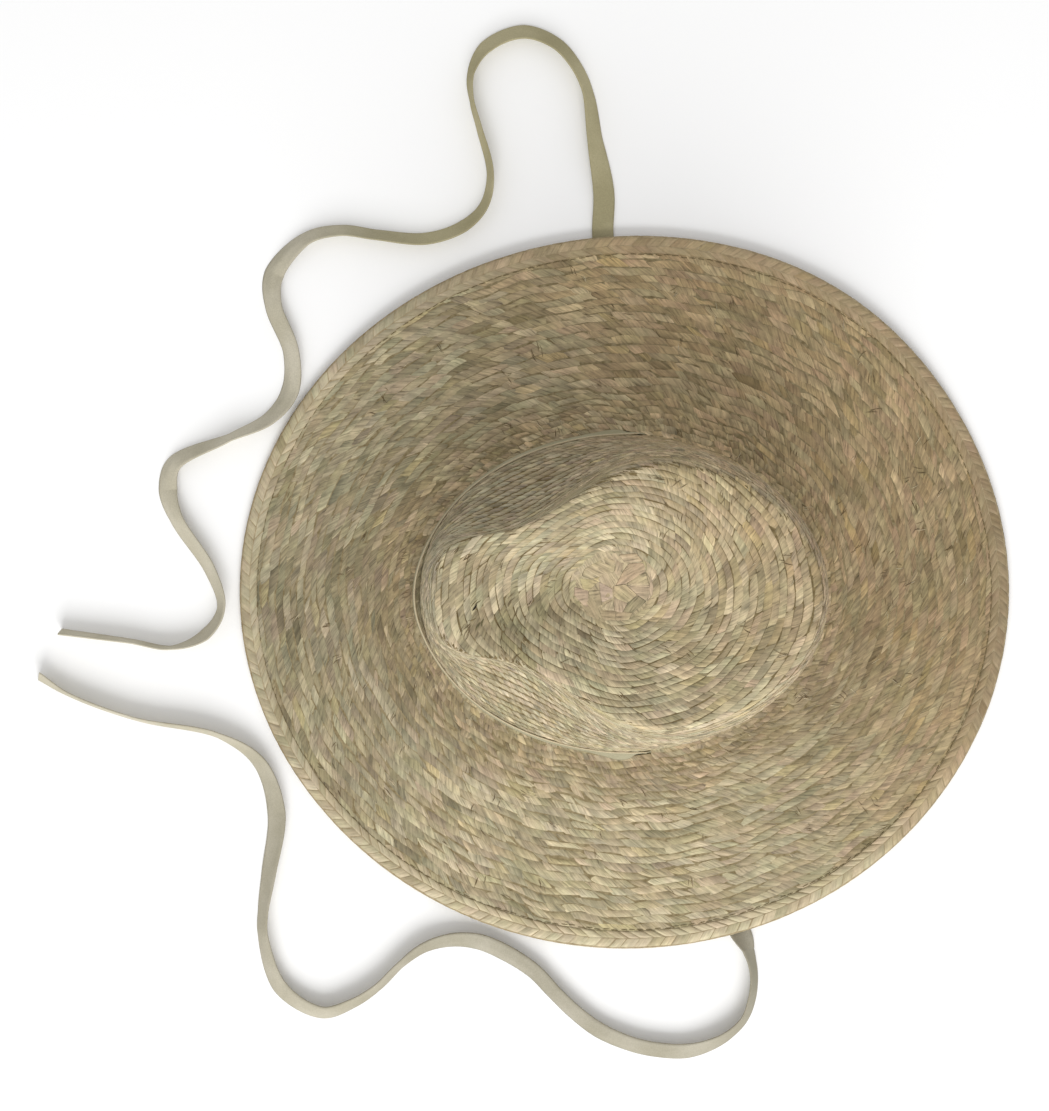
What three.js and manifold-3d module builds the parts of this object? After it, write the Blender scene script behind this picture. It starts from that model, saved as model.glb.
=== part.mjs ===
import * as THREE from 'three';
import { LoftGeometry } from 'three/addons/geometries/LoftGeometry.js';
import { mergeVertices } from 'three/addons/utils/BufferGeometryUtils.js';
import Module from 'manifold-3d';

const wasm = await Module();
wasm.setup();

// A wide-brimmed sun hat of woven palm straw with a pinched teardrop crown, lying on its brim.
// One ribbon goes round the front of the crown, down through two slits in the brim, and ends in
// two free ties that lie on the surface.
//
// Sizes are millimetres. +Z is up, -Y is the front of the hat and +X is the wearer's left. The
// brim rests on z = 0. Angles are degrees round the hat from its front, towards the wearer's left.

// Driving dimensions
const BRIM_LENGTH = 396.6;
const BRIM_WIDTH = 366.2;
const BRIM_RISE = 17;
const CROWN_LENGTH = 203;
const CROWN_WIDTH = 160;
const CROWN_SHIFT = -2.5;
const CREST_HEIGHT = 128;
const CREST_FALL_BACK = 8;
const WALL = 1.7;
const GAP = 0.3;
const RIBBON_WIDTH = 11;
const RIBBON_THICKNESS = 1;
const SURFACE_CLEARANCE = 0.1;

// Woven straw and ribbon are lofted through this many points round the hat
const STEPS_ROUND = 60;

// The brim curves down from a small fillet at the crown and flattens towards its edge
const FILLET_RADIUS = 5;
const BRIM_FLATTENING = 1.5;
const PLAIT_WIDTH = 9;
const PLAIT_LEG = 1;
const PRESSED_FLAT = 0.2;
const EDGE_TOP = PLAIT_LEG + GAP + WALL - PRESSED_FLAT;
const BRIM_FOOT = EDGE_TOP + BRIM_RISE;
const FOOT_HEIGHT = BRIM_FOOT + FILLET_RADIUS;

// Where the brim's outline leaves its oval: each row reaches out by this much round its angle
const OUTLINE_SWELLS = [
  { at: 45, spread: 20, reach: -1.2 },
  { at: 239, spread: 18, reach: 3.4 },
  { at: 300, spread: 20, reach: -1.4 },
];

// The brim touches the surface in front and behind, and lifts clear of it at the sides
const SIDE_LIFT = { height: 3.4, from: 24, to: 58 };

// Soft waves in the brim: share is the way from the crown, 0, to the edge, 1
const BRIM_WAVES = [
  { at: 352, spread: 22, share: 0.62, breadth: 0.16, height: -2.2 },
  { at: 35, spread: 20, share: 0.5, breadth: 0.18, height: 1.6 },
  { at: 75, spread: 16, share: 0.6, breadth: 0.2, height: -1.6 },
  { at: 140, spread: 22, share: 0.55, breadth: 0.2, height: 2 },
  { at: 205, spread: 20, share: 0.6, breadth: 0.2, height: -1.8 },
  { at: 285, spread: 20, share: 0.5, breadth: 0.2, height: 1.8 },
];
const WAVE_FREE_FOOT = 0.2;
const WAVE_FREE_EDGE = 0.25;

// The crown's crest in plan, round the knot in the middle of its top
const KNOT = { x: -4.5, y: -9 };
const CREST_PLAN = { halfLength: 91, halfWidth: 65, y: -2, frontPower: 2.6, backPower: 2 };
const PINCH = { y: -60, spread: 32, share: 0.465 };

// The crown's wall from its foot to its crest. rise is the share of the height, inset the way from
// the foot's outline to the crest's, and pinch the share of the front pinch at that height.
const WALL_ROWS = [
  { rise: 0, inset: 0, pinch: 0 },
  { rise: 0.1, inset: 0.05, pinch: 0.03 },
  { rise: 0.22, inset: 0.11, pinch: 0.15 },
  { rise: 0.36, inset: 0.18, pinch: 0.4 },
  { rise: 0.5, inset: 0.26, pinch: 0.7 },
  { rise: 0.64, inset: 0.36, pinch: 0.95 },
  { rise: 0.77, inset: 0.48, pinch: 1.06 },
  { rise: 0.87, inset: 0.61, pinch: 1.08 },
  { rise: 0.945, inset: 0.76, pinch: 1.04 },
  { rise: 0.985, inset: 0.9, pinch: 1 },
  { rise: 1, inset: 1, pinch: 0.97 },
];

// The top sinks from its crest into a shallow dish, with a crease that runs back from the front
const DISH_DEPTH = 13;
const DISH_REACHES = [0.93, 0.84, 0.72, 0.58, 0.42, 0.24];
const CREASE = { depth: 6, halfWidth: 13, front: -84, deepest: -64, back: 16 };

// The slits at the crown's foot, and the ribbon's way down into each. before is the angle still to
// go, top the upper edge's distance from the crown's wall, foot the lower edge's from the crown's
// foot, up the height and dive the turn of its width forwards. A slit's flare is its share of the
// lower edge's swing outwards, and the ribbon rises by SWING_RISE of the swing that it lacks.
const SLITS = {
  left: { at: 96, side: 1, flare: 1 },
  right: { at: -94, side: -1, flare: 0.5 },
};
const SLIT = { across: 2.6, along: 12.6, deep: 14, out: 1.9, past: 0.8 };
const RIBBON_FOOT = 1;
const SWING_RISE = 0.65;
const RIBBON_END_ROWS = [
  { before: -2.4, top: 1.8, foot: 1.8, up: 14.9, dive: 62, width: 7 },
  { before: -1.3, top: 1.8, foot: 1.8, up: 18.5, dive: 60, width: 7 },
  { before: -0.2, top: 1.8, foot: 1.8, up: 21.9, dive: 52, width: 7.2 },
  { before: 1, top: 1.7, foot: 2.1, up: 23.7, dive: 38, width: 7.6 },
  { before: 2.6, top: 1.1, foot: 3.8, up: 24.9, dive: 18, width: 8.8 },
  { before: 4.4, top: 0.85, foot: 5.4, up: 24, dive: 6, width: 10.2 },
  { before: 6.6, top: 0.85, foot: 5.5, up: 24.2, dive: 0, width: 10.8 },
  { before: 10, top: 0.85, foot: 4.2, up: 25.8, dive: 0, width: RIBBON_WIDTH },
  { before: 15, top: 0.85, foot: 2.2, up: 28.2, dive: 0, width: RIBBON_WIDTH },
  { before: 22, top: 0.85, foot: RIBBON_FOOT, up: 29.6, dive: 0, width: RIBBON_WIDTH },
];
const RIBBON_STEP = 6;
const FRONT_SLACK = { at: 2, spread: 13, out: 2 };

// The ties' routes as they lie. roll tips the ribbon up on one edge, and z is given only where it
// still hangs from the slit under the brim.
const TIE_STEPS = 58;
const TIE_LEFT_ROWS = [
  { x: 82.3, y: 13.4, roll: 0, z: 12.2 },
  { x: 86, y: 17.2, roll: 0, z: 7.6 },
  { x: 91, y: 21.9, roll: 0, z: 2.8 },
  { x: 99, y: 27, roll: 0 },
  { x: 120, y: 36, roll: 0 },
  { x: 150, y: 49, roll: 0 },
  { x: 172.5, y: 58.5, roll: -4 },
  { x: 178, y: 61.3, roll: -26 },
  { x: 184, y: 63.8, roll: -58 },
  { x: 190, y: 65.6, roll: -66 },
  { x: 198, y: 66.7, roll: -68 },
  { x: 209, y: 65.6, roll: -66 },
  { x: 219.2, y: 61.9, roll: -66 },
  { x: 227, y: 54.5, roll: -61 },
  { x: 232.6, y: 44.8, roll: -52 },
  { x: 236.1, y: 32, roll: -41 },
  { x: 235.5, y: 16, roll: -41 },
  { x: 232.7, y: 3, roll: -42 },
  { x: 226, y: -13, roll: -40 },
  { x: 216.7, y: -25.8, roll: -44 },
  { x: 206.3, y: -36.7, roll: -46 },
  { x: 195.5, y: -47, roll: -42 },
  { x: 185.2, y: -63, roll: -37 },
  { x: 180, y: -76, roll: -39 },
  { x: 179.2, y: -89.5, roll: -48 },
  { x: 183, y: -103.2, roll: -60 },
  { x: 191.6, y: -115.2, roll: -70 },
  { x: 203, y: -126.9, roll: -68 },
  { x: 211.5, y: -140, roll: -60 },
  { x: 216.3, y: -156, roll: -51 },
  { x: 203.6, y: -177.4, roll: -42 },
  { x: 176.4, y: -186.2, roll: -60 },
  { x: 164, y: -186, roll: -60 },
  { x: 144, y: -183, roll: -46 },
  { x: 113.4, y: -179.2, roll: -31 },
  { x: 87.4, y: -188, roll: -50 },
  { x: 73.6, y: -208.7, roll: -74 },
  { x: 65, y: -251.5, roll: -80 },
  { x: 52.4, y: -286, roll: -78 },
  { x: 43, y: -301.3, roll: -66 },
];
const TIE_RIGHT_ROWS = [
  { x: -82.1, y: 8.6, roll: 0, z: 12.5 },
  { x: -86.3, y: 9.4, roll: 0, z: 7.6 },
  { x: -91, y: 9.8, roll: 0, z: 2.8 },
  { x: -100, y: 9, roll: 0 },
  { x: -125, y: 3, roll: 0 },
  { x: -155, y: -5, roll: 0 },
  { x: -183, y: -10.8, roll: 0 },
  { x: -206, y: -10.5, roll: 10 },
  { x: -233.7, y: -15.2, roll: 46 },
  { x: -257.5, y: -18.8, roll: 60 },
  { x: -271, y: -24.8, roll: 57 },
  { x: -282.7, y: -35.1, roll: 51 },
  { x: -288.7, y: -52.2, roll: 44 },
  { x: -281, y: -71, roll: 48 },
  { x: -266.8, y: -79, roll: 72 },
  { x: -253.3, y: -78.5, roll: 82 },
  { x: -239.4, y: -74.8, roll: 79 },
  { x: -215.6, y: -69, roll: 74 },
  { x: -199.1, y: -72.3, roll: 64 },
  { x: -188.5, y: -83, roll: 53 },
  { x: -182.2, y: -102, roll: 53 },
  { x: -184.1, y: -127.3, roll: 58 },
  { x: -186.5, y: -146, roll: 56 },
  { x: -182.5, y: -164, roll: 50 },
  { x: -164.5, y: -180.8, roll: 20 },
  { x: -148, y: -181.5, roll: 38 },
  { x: -124.2, y: -172.5, roll: 42 },
  { x: -104, y: -172.8, roll: 32 },
  { x: -90, y: -183, roll: 50 },
  { x: -80, y: -203, roll: 68 },
  { x: -66.4, y: -232.4, roll: 40 },
  { x: -52.9, y: -235.5, roll: 26 },
  { x: -38, y: -231, roll: 50 },
  { x: -11.6, y: -213.3, roll: 56 },
  { x: 8, y: -207.5, roll: 66 },
  { x: 21.6, y: -215.8, roll: 58 },
  { x: 28.3, y: -233, roll: 84 },
  { x: 25, y: -254, roll: 83 },
  { x: 20.1, y: -290.5, roll: 78 },
];

const MATERIALS = {
  straw: new THREE.MeshStandardMaterial({ color: 0xb3a27f, roughness: 0.75, metalness: 0 }),
  plait: new THREE.MeshStandardMaterial({ color: 0xbda98a, roughness: 0.7, metalness: 0 }),
  ribbon: new THREE.MeshStandardMaterial({ color: 0xb0aa8c, roughness: 0.85, metalness: 0 }),
};

const UP = new THREE.Vector3(0, 0, 1);
const { degToRad, lerp, smoothstep, euclideanModulo } = THREE.MathUtils;

// A bell of height 1 at `at`, whose argument is an angle that wraps round
function bellRound(angle, at, spread) {
  const away = euclideanModulo(angle - at + 180, 360) - 180;
  return Math.exp(-0.5 * (away / spread) ** 2);
}

function bell(value, at, spread) {
  return Math.exp(-0.5 * ((value - at) / spread) ** 2);
}

// Outlines in plan
function oval(angle, halfWidth, halfLength, y) {
  const turn = degToRad(angle);
  return new THREE.Vector3(halfWidth * Math.sin(turn), y - halfLength * Math.cos(turn), 0);
}

function footOutline(angle) {
  return oval(angle, CROWN_WIDTH / 2, CROWN_LENGTH / 2, CROWN_SHIFT);
}

function brimOutline(angle) {
  const point = oval(angle, BRIM_WIDTH / 2, BRIM_LENGTH / 2, 0);
  let reach = 0;
  for (const swell of OUTLINE_SWELLS) reach += swell.reach * bellRound(angle, swell.at, swell.spread);
  return point.setLength(point.length() + reach);
}

// A superellipse, so that the front of the crown is blunter than its back
function crestOutline(angle) {
  const turn = degToRad(angle);
  const power = Math.cos(turn) > 0 ? CREST_PLAN.frontPower : CREST_PLAN.backPower;
  const bulge = (value) => Math.sign(value) * Math.abs(value) ** (2 / power);
  return new THREE.Vector3(
    CREST_PLAN.halfWidth * bulge(Math.sin(turn)),
    CREST_PLAN.y - CREST_PLAN.halfLength * bulge(Math.cos(turn)),
    0,
  );
}

// The brim's upper surface. t runs from 0 to 1 round the fillet, then to 2 at the edge.
function outwards(angle) {
  return brimOutline(angle).sub(footOutline(angle)).normalize();
}

function brimHeight(angle, share) {
  const side = Math.abs(euclideanModulo(angle + 90, 180) - 90);
  const lift = SIDE_LIFT.height * smoothstep(side, SIDE_LIFT.from, SIDE_LIFT.to);
  const height = EDGE_TOP + BRIM_RISE * (1 - Math.min(share, 1)) ** BRIM_FLATTENING + lift * share ** 2;
  const calm = smoothstep(share, 0, WAVE_FREE_FOOT) * smoothstep(1 - share, 0, WAVE_FREE_EDGE);
  let wave = 0;
  for (const row of BRIM_WAVES) {
    wave += row.height * bellRound(angle, row.at, row.spread) * bell(share, row.share, row.breadth);
  }
  return height + wave * calm;
}

function brimAt(angle, distance) {
  const foot = footOutline(angle);
  const width = brimOutline(angle).distanceTo(foot);
  const point = foot.addScaledVector(outwards(angle), distance);
  return point.setZ(brimHeight(angle, distance / width));
}

function brimSurface(angle, t) {
  if (t <= 1) {
    const turn = (t * Math.PI) / 2;
    const point = brimAt(angle, FILLET_RADIUS * (1 - Math.cos(turn)));
    point.z += FILLET_RADIUS * (1 - Math.sin(turn));
    return point;
  }
  const width = brimOutline(angle).distanceTo(footOutline(angle));
  return brimAt(angle, lerp(FILLET_RADIUS, width - PLAIT_LEG - GAP, t - 1));
}

// The crown's outer surface. t runs from 0 at the foot to 1 at the crest and 2 at the knot.
const wallCurve = new THREE.CatmullRomCurve3(
  WALL_ROWS.map((row) => new THREE.Vector3(row.rise, row.inset, row.pinch)),
);

function crestHeight(angle) {
  return CREST_HEIGHT - (CREST_FALL_BACK * (1 - Math.cos(degToRad(angle)))) / 2;
}

function pinched(point, share) {
  point.x *= 1 - PINCH.share * share * bell(point.y, PINCH.y, PINCH.spread);
  return point;
}

function creaseDepth(x, y) {
  const along = smoothstep(y, CREASE.front, CREASE.deepest) * (1 - smoothstep(y, CREASE.deepest, CREASE.back));
  return CREASE.depth * along * bell(x, 0, CREASE.halfWidth);
}

function crownSurface(angle, t) {
  const foot = FOOT_HEIGHT + GAP;
  if (t <= 1) {
    const row = wallCurve.getPoint(Math.max(t, 0));
    const point = footOutline(angle).lerp(crestOutline(angle), row.y);
    return pinched(point, row.z).setZ(lerp(foot, crestHeight(angle), row.x));
  }
  const reach = 2 - t;
  const rim = pinched(crestOutline(angle), WALL_ROWS.at(-1).pinch);
  const point = new THREE.Vector3(KNOT.x, KNOT.y, 0).lerp(rim, reach);
  const middle = CREST_HEIGHT - CREST_FALL_BACK / 2;
  const crest = lerp(middle, crestHeight(angle), reach);
  const drop = DISH_DEPTH * (1 - reach ** 2) ** 2 + creaseDepth(point.x, point.y) * (1 - reach ** 6);
  return point.setZ(crest - drop);
}

// A point of a surface moved along its normal, which is (way round) x (way along t)
function shifted(surface, angle, t, distance) {
  const turn = 0.5;
  const step = 0.004;
  const round = surface(angle + turn, t).sub(surface(angle - turn, t));
  const along = surface(angle, t + step).sub(surface(angle, Math.max(t - step, 0)));
  return surface(angle, t).addScaledVector(round.cross(along).normalize(), distance);
}

function ring(place) {
  return Array.from({ length: STEPS_ROUND }, (_, step) => place((step * 360) / STEPS_ROUND));
}

// Solids are welded, and cut by other solids where the real piece is cut
function welded(geometry) {
  const plain = new THREE.BufferGeometry();
  plain.setAttribute('position', geometry.getAttribute('position'));
  plain.setIndex(geometry.getIndex());
  const merged = mergeVertices(plain, 1e-4);
  const corners = merged.getIndex().array;
  const kept = [];
  for (let first = 0; first < corners.length; first += 3) {
    const [a, b, c] = corners.slice(first, first + 3);
    if (a !== b && b !== c && c !== a) kept.push(a, b, c);
  }
  merged.setIndex(kept);
  return merged;
}

function solid(geometry) {
  const body = welded(geometry);
  return new wasm.Manifold(new wasm.Mesh({
    numProp: 3,
    vertProperties: new Float32Array(body.getAttribute('position').array),
    triVerts: new Uint32Array(body.getIndex().array),
  }));
}

function geometryOf(manifold) {
  const mesh = manifold.getMesh();
  const geometry = new THREE.BufferGeometry();
  geometry.setAttribute('position', new THREE.BufferAttribute(mesh.vertProperties, 3));
  geometry.setIndex(new THREE.BufferAttribute(mesh.triVerts, 1));
  return geometry;
}

// Crown: one woven shell, open below
function crownGeometry() {
  const wallSteps = WALL_ROWS.map((_, index) => index / (WALL_ROWS.length - 1));
  const steps = [...wallSteps, ...DISH_REACHES.map((reach) => 2 - reach)];
  const inside = steps.map((t) => ring((angle) => shifted(crownSurface, angle, t, -WALL))).reverse();
  const outside = steps.map((t) => ring((angle) => crownSurface(angle, t)));
  const knot = crownSurface(0, 2);
  const knotInside = knot.clone().addScaledVector(UP, -WALL);
  return welded(new LoftGeometry([ring(() => knotInside), ...inside, ...outside, ring(() => knot)]));
}

// Brim: one woven sheet with a slit at each side of the crown
const BRIM_STEPS = [0, 0.25, 0.5, 0.75, 1, 1.14, 1.3, 1.48, 1.66, 1.82, 1.92, 2];

function slitCutter(slit) {
  const angle = slit.at + slit.side * SLIT.past;
  const direction = outwards(angle);
  const middle = footOutline(angle).addScaledVector(direction, SLIT.out);
  const cutter = new THREE.BoxGeometry(SLIT.across, SLIT.along, SLIT.deep);
  cutter.rotateZ(Math.atan2(direction.y, direction.x));
  cutter.translate(middle.x, middle.y, BRIM_FOOT);
  return solid(cutter);
}

function brimGeometry() {
  const under = BRIM_STEPS.map((t) => ring((angle) => shifted(brimSurface, angle, t, WALL)));
  const over = BRIM_STEPS.map((t) => ring((angle) => brimSurface(angle, t))).reverse();
  const sheet = solid(new LoftGeometry([...under, ...over, under[0]]));
  return geometryOf(sheet.subtract(slitCutter(SLITS.left)).subtract(slitCutter(SLITS.right)));
}

// Edge plait: a strip folded round the brim's edge. s is measured inwards from the outermost
// point, n up from the brim's upper surface.
const underBrim = -WALL - GAP;
const PLAIT_SECTION = [
  { s: PLAIT_WIDTH, n: underBrim - PLAIT_LEG },
  { s: PLAIT_WIDTH / 2, n: underBrim - PLAIT_LEG },
  { s: PLAIT_LEG, n: underBrim - PLAIT_LEG },
  { s: 0, n: underBrim },
  { s: 0, n: GAP },
  { s: PLAIT_LEG, n: GAP + PLAIT_LEG },
  { s: PLAIT_WIDTH, n: GAP + PLAIT_LEG },
  { s: PLAIT_WIDTH, n: GAP },
  { s: PLAIT_LEG, n: GAP },
  { s: PLAIT_LEG, n: underBrim },
  { s: PLAIT_WIDTH, n: underBrim },
];

function plaitGeometry() {
  const rings = PLAIT_SECTION.map(({ s, n }) => ring((angle) => {
    const width = brimOutline(angle).distanceTo(footOutline(angle));
    const point = shifted(brimAt, angle, width - s, -n);
    return point.setZ(Math.max(point.z, 0));
  }));
  return welded(new LoftGeometry([...rings, rings[0]]));
}

// Ribbons: a thin strip lofted through stations, each with a middle, a width and the direction of
// that width
function ribbonGeometry(stations) {
  const corner = 0.94;
  const outline = [[1, -0.5], [1, 0.5], [corner, 1], [-corner, 1], [-1, 0.5], [-1, -0.5], [-corner, -1], [corner, -1]];
  const sections = stations.map((station, index) => {
    const next = stations[Math.min(index + 1, stations.length - 1)].middle;
    const last = stations[Math.max(index - 1, 0)].middle;
    const travel = next.clone().sub(last).normalize();
    const across = station.across.clone().projectOnPlane(travel).normalize();
    const through = travel.clone().cross(across);
    return outline.map(([a, b]) => station.middle.clone()
      .addScaledVector(across, (a * station.width) / 2)
      .addScaledVector(through, (b * RIBBON_THICKNESS) / 2));
  });
  return welded(new LoftGeometry(sections, { capStart: true, capEnd: true }));
}

// Crown ribbon: round the front of the foot, from slit to slit
function ribbonEndRow(before) {
  const upper = RIBBON_END_ROWS.findIndex((row) => row.before >= before);
  if (upper < 0) return RIBBON_END_ROWS.at(-1);
  if (upper === 0) return RIBBON_END_ROWS[0];
  const [low, high] = [RIBBON_END_ROWS[upper - 1], RIBBON_END_ROWS[upper]];
  const share = (before - low.before) / (high.before - low.before);
  const columns = Object.keys(low).map((column) => [column, lerp(low[column], high[column], share)]);
  return Object.fromEntries(columns);
}

// How far the crown's wall stands inside its foot at a height
function wallInset(angle, height) {
  const foot = FOOT_HEIGHT + GAP;
  const wall = crownSurface(angle, Math.max(0, (height - foot) / (crestHeight(angle) - foot)));
  return footOutline(angle).sub(wall.setZ(0)).dot(outwards(angle));
}

function ribbonStation(angle) {
  const slit = angle > 0 ? SLITS.left : SLITS.right;
  const row = ribbonEndRow((slit.at - angle) * slit.side);
  const out = outwards(angle);
  const forwards = UP.clone().cross(out).multiplyScalar(slit.side);
  const dive = degToRad(row.dive);
  const slack = FRONT_SLACK.out * bellRound(angle, FRONT_SLACK.at, FRONT_SLACK.spread);
  const lacking = row.before < 0 ? 0 : (1 - slit.flare) * (row.foot - RIBBON_FOOT);
  const height = row.up + lacking * SWING_RISE;
  const upper = row.top - wallInset(angle, height + (row.width / 2) * Math.cos(dive)) + slack;
  const lower = row.foot - lacking + slack;
  const lean = Math.asin((lower - upper) / row.width);
  return {
    middle: footOutline(angle).addScaledVector(out, (upper + lower) / 2).setZ(height),
    across: UP.clone().multiplyScalar(Math.cos(lean) * Math.cos(dive))
      .addScaledVector(out, -Math.sin(lean))
      .addScaledVector(forwards, Math.sin(dive)),
    width: row.width,
  };
}

function crownRibbonGeometry() {
  const ends = RIBBON_END_ROWS.map((row) => row.before);
  const left = ends.map((before) => SLITS.left.at - before).reverse();
  const right = ends.map((before) => SLITS.right.at + before);
  const middle = [];
  for (let angle = right.at(-1) + RIBBON_STEP; angle < left[0] - RIBBON_STEP / 2; angle += RIBBON_STEP) {
    middle.push(angle);
  }
  return ribbonGeometry([...right, ...middle, ...left].map(ribbonStation));
}

// Ties: the same ribbon, laid loosely on the surface
function tieGeometry(rows) {
  const lying = (roll) => (RIBBON_WIDTH * Math.abs(Math.sin(roll)) + RIBBON_THICKNESS * Math.cos(roll)) / 2;
  const route = new THREE.CatmullRomCurve3(rows.map((row) => {
    const rest = SURFACE_CLEARANCE + lying(degToRad(row.roll));
    return new THREE.Vector3(row.x, row.y, row.z ?? rest);
  }), false, 'centripetal');
  const stations = Array.from({ length: TIE_STEPS + 1 }, (_, step) => {
    const t = route.getUtoTmapping(step / TIE_STEPS);
    const index = Math.min(Math.floor(t * (rows.length - 1)), rows.length - 2);
    const share = t * (rows.length - 1) - index;
    const roll = degToRad(lerp(rows[index].roll, rows[index + 1].roll, share));
    const middle = route.getPoint(t);
    if (!rows[index].z) middle.setZ(SURFACE_CLEARANCE + lying(roll));
    const travel = route.getTangent(t);
    const left = UP.clone().cross(travel).normalize();
    const across = left.multiplyScalar(Math.cos(roll)).addScaledVector(travel.clone().cross(left), Math.sin(roll));
    return { middle, across, width: RIBBON_WIDTH };
  });
  return ribbonGeometry(stations);
}

// The hat
const hat = new THREE.Group();

function addPiece(name, geometry, material) {
  const piece = new THREE.Mesh(geometry, material);
  piece.name = name;
  hat.add(piece);
}

addPiece('crown', crownGeometry(), MATERIALS.straw);
addPiece('brim', brimGeometry(), MATERIALS.straw);
addPiece('brim_edge_plait', plaitGeometry(), MATERIALS.plait);
addPiece('crown_ribbon', crownRibbonGeometry(), MATERIALS.ribbon);
addPiece('tie_left', tieGeometry(TIE_LEFT_ROWS), MATERIALS.ribbon);
addPiece('tie_right', tieGeometry(TIE_RIGHT_ROWS), MATERIALS.ribbon);

export default hat;
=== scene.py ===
# A wide-brimmed sun hat of woven palm leaf with a pinched teardrop crown, lying on its brim.
#
# Sizes are metres. +Z is up, -Y is the front of the hat and +X is the wearer's left. Angles are
# degrees round the hat from its front, towards the wearer's left.

import math

import bpy
import numpy as np
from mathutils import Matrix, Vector


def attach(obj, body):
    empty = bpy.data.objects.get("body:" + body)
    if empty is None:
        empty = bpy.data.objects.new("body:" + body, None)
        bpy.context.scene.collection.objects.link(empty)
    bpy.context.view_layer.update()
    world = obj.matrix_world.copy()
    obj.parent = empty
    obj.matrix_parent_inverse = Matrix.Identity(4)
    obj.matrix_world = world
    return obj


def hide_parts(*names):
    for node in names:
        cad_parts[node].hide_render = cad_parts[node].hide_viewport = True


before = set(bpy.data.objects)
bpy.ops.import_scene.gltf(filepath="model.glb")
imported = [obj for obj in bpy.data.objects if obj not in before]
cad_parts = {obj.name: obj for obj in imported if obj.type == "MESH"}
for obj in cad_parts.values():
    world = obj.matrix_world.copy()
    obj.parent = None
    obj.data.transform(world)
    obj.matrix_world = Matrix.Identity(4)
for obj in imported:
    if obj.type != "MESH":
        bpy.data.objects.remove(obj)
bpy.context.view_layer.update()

# Driving dimensions, as in the part's source, but for a thinner ribbon
BRIM_LENGTH = 0.3966
BRIM_WIDTH = 0.3662
BRIM_RISE = 0.017
CROWN_LENGTH = 0.203
CROWN_WIDTH = 0.160
CROWN_SHIFT = -0.0025
CREST_HEIGHT = 0.128
CREST_FALL_BACK = 0.008
WALL = 0.0017
GAP = 0.0003
RIBBON_WIDTH = 0.011
RIBBON_THICKNESS = 0.0008
SURFACE_CLEARANCE = 0.0001

FILLET_RADIUS = 0.005
BRIM_FLATTENING = 1.5
PLAIT_WIDTH = 0.009
PLAIT_LEG = 0.001
PRESSED_FLAT = 0.0002
EDGE_TOP = PLAIT_LEG + GAP + WALL - PRESSED_FLAT
BRIM_FOOT = EDGE_TOP + BRIM_RISE
CROWN_FOOT = BRIM_FOOT + FILLET_RADIUS + GAP

# angle, spread, reach
OUTLINE_SWELLS = [(45, 20, -0.0012), (239, 18, 0.0034), (300, 20, -0.0014)]
SIDE_LIFT = {"height": 0.0034, "from": 24, "to": 58}

# angle, spread, share of the brim, breadth, height
BRIM_WAVES = [
    (352, 22, 0.62, 0.16, -0.0022), (35, 20, 0.5, 0.18, 0.0016), (75, 16, 0.6, 0.2, -0.0016),
    (140, 22, 0.55, 0.2, 0.002), (205, 20, 0.6, 0.2, -0.0018), (285, 20, 0.5, 0.2, 0.0018),
]
WAVE_FREE_FOOT = 0.2
WAVE_FREE_EDGE = 0.25

KNOT = np.array([-0.0045, -0.009])
CREST_PLAN = {"half_length": 0.091, "half_width": 0.065, "y": -0.002, "front": 2.6, "back": 2.0}
PINCH = {"y": -0.06, "spread": 0.032, "share": 0.465}

# rise, inset and share of the pinch, from the crown's foot to its crest
WALL_ROWS = np.array([
    (0, 0, 0), (0.1, 0.05, 0.03), (0.22, 0.11, 0.15), (0.36, 0.18, 0.4), (0.5, 0.26, 0.7),
    (0.64, 0.36, 0.95), (0.77, 0.48, 1.06), (0.87, 0.61, 1.08), (0.945, 0.76, 1.04), (0.985, 0.9, 1),
    (1, 1, 0.97),
])
DISH_DEPTH = 0.013
CREASE = {"depth": 0.006, "half_width": 0.013, "front": -0.084, "deepest": -0.064, "back": 0.016}

# The slits at the crown's foot. lips is how far the brim's leaves keep from a slit's middle.
SLITS = {
    "left": {"at": 96, "side": 1, "flare": 1, "lips": 0.0007},
    "right": {"at": -94, "side": -1, "flare": 0.5, "lips": 0},
}
SLIT = {"across": 0.0022, "along": 0.0126, "deep": 0.014, "out": 0.0015, "past": 0.8}
RIBBON_FOOT = 0.0011
SWING_RISE = 0.65

# The ribbon's way down into each slit: the angle still to go, the upper edge's distance from the
# crown's wall, the lower edge's from the crown's foot, the height, the turn of its width and the width
RIBBON_END_ROWS = np.array([
    (-2.4, 0.0015, 0.0015, 0.0149, 62, 0.007),
    (-1.3, 0.0015, 0.0015, 0.0185, 60, 0.007),
    (-0.2, 0.0015, 0.0015, 0.0219, 52, 0.0072),
    (1, 0.0013, 0.0019, 0.0237, 38, 0.0076),
    (2.6, 0.0009, 0.0031, 0.0249, 18, 0.0088),
    (4.4, 0.0007, 0.0046, 0.0243, 6, 0.0102),
    (6.6, 0.0007, 0.0047, 0.0246, 0, 0.0108),
    (10, 0.0007, 0.003, 0.0264, 0, RIBBON_WIDTH),
    (15, 0.0007, 0.0014, 0.0286, 0, RIBBON_WIDTH),
    (22, 0.0007, RIBBON_FOOT, 0.0296, 0, RIBBON_WIDTH),
])
RIBBON_EASING = (-0.8, -0.4, 0, 0.4, 0.8)
RIBBON_STEP = 0.26
FRONT_SLACK = {"at": 2, "spread": 13, "out": 0.0028}

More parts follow.
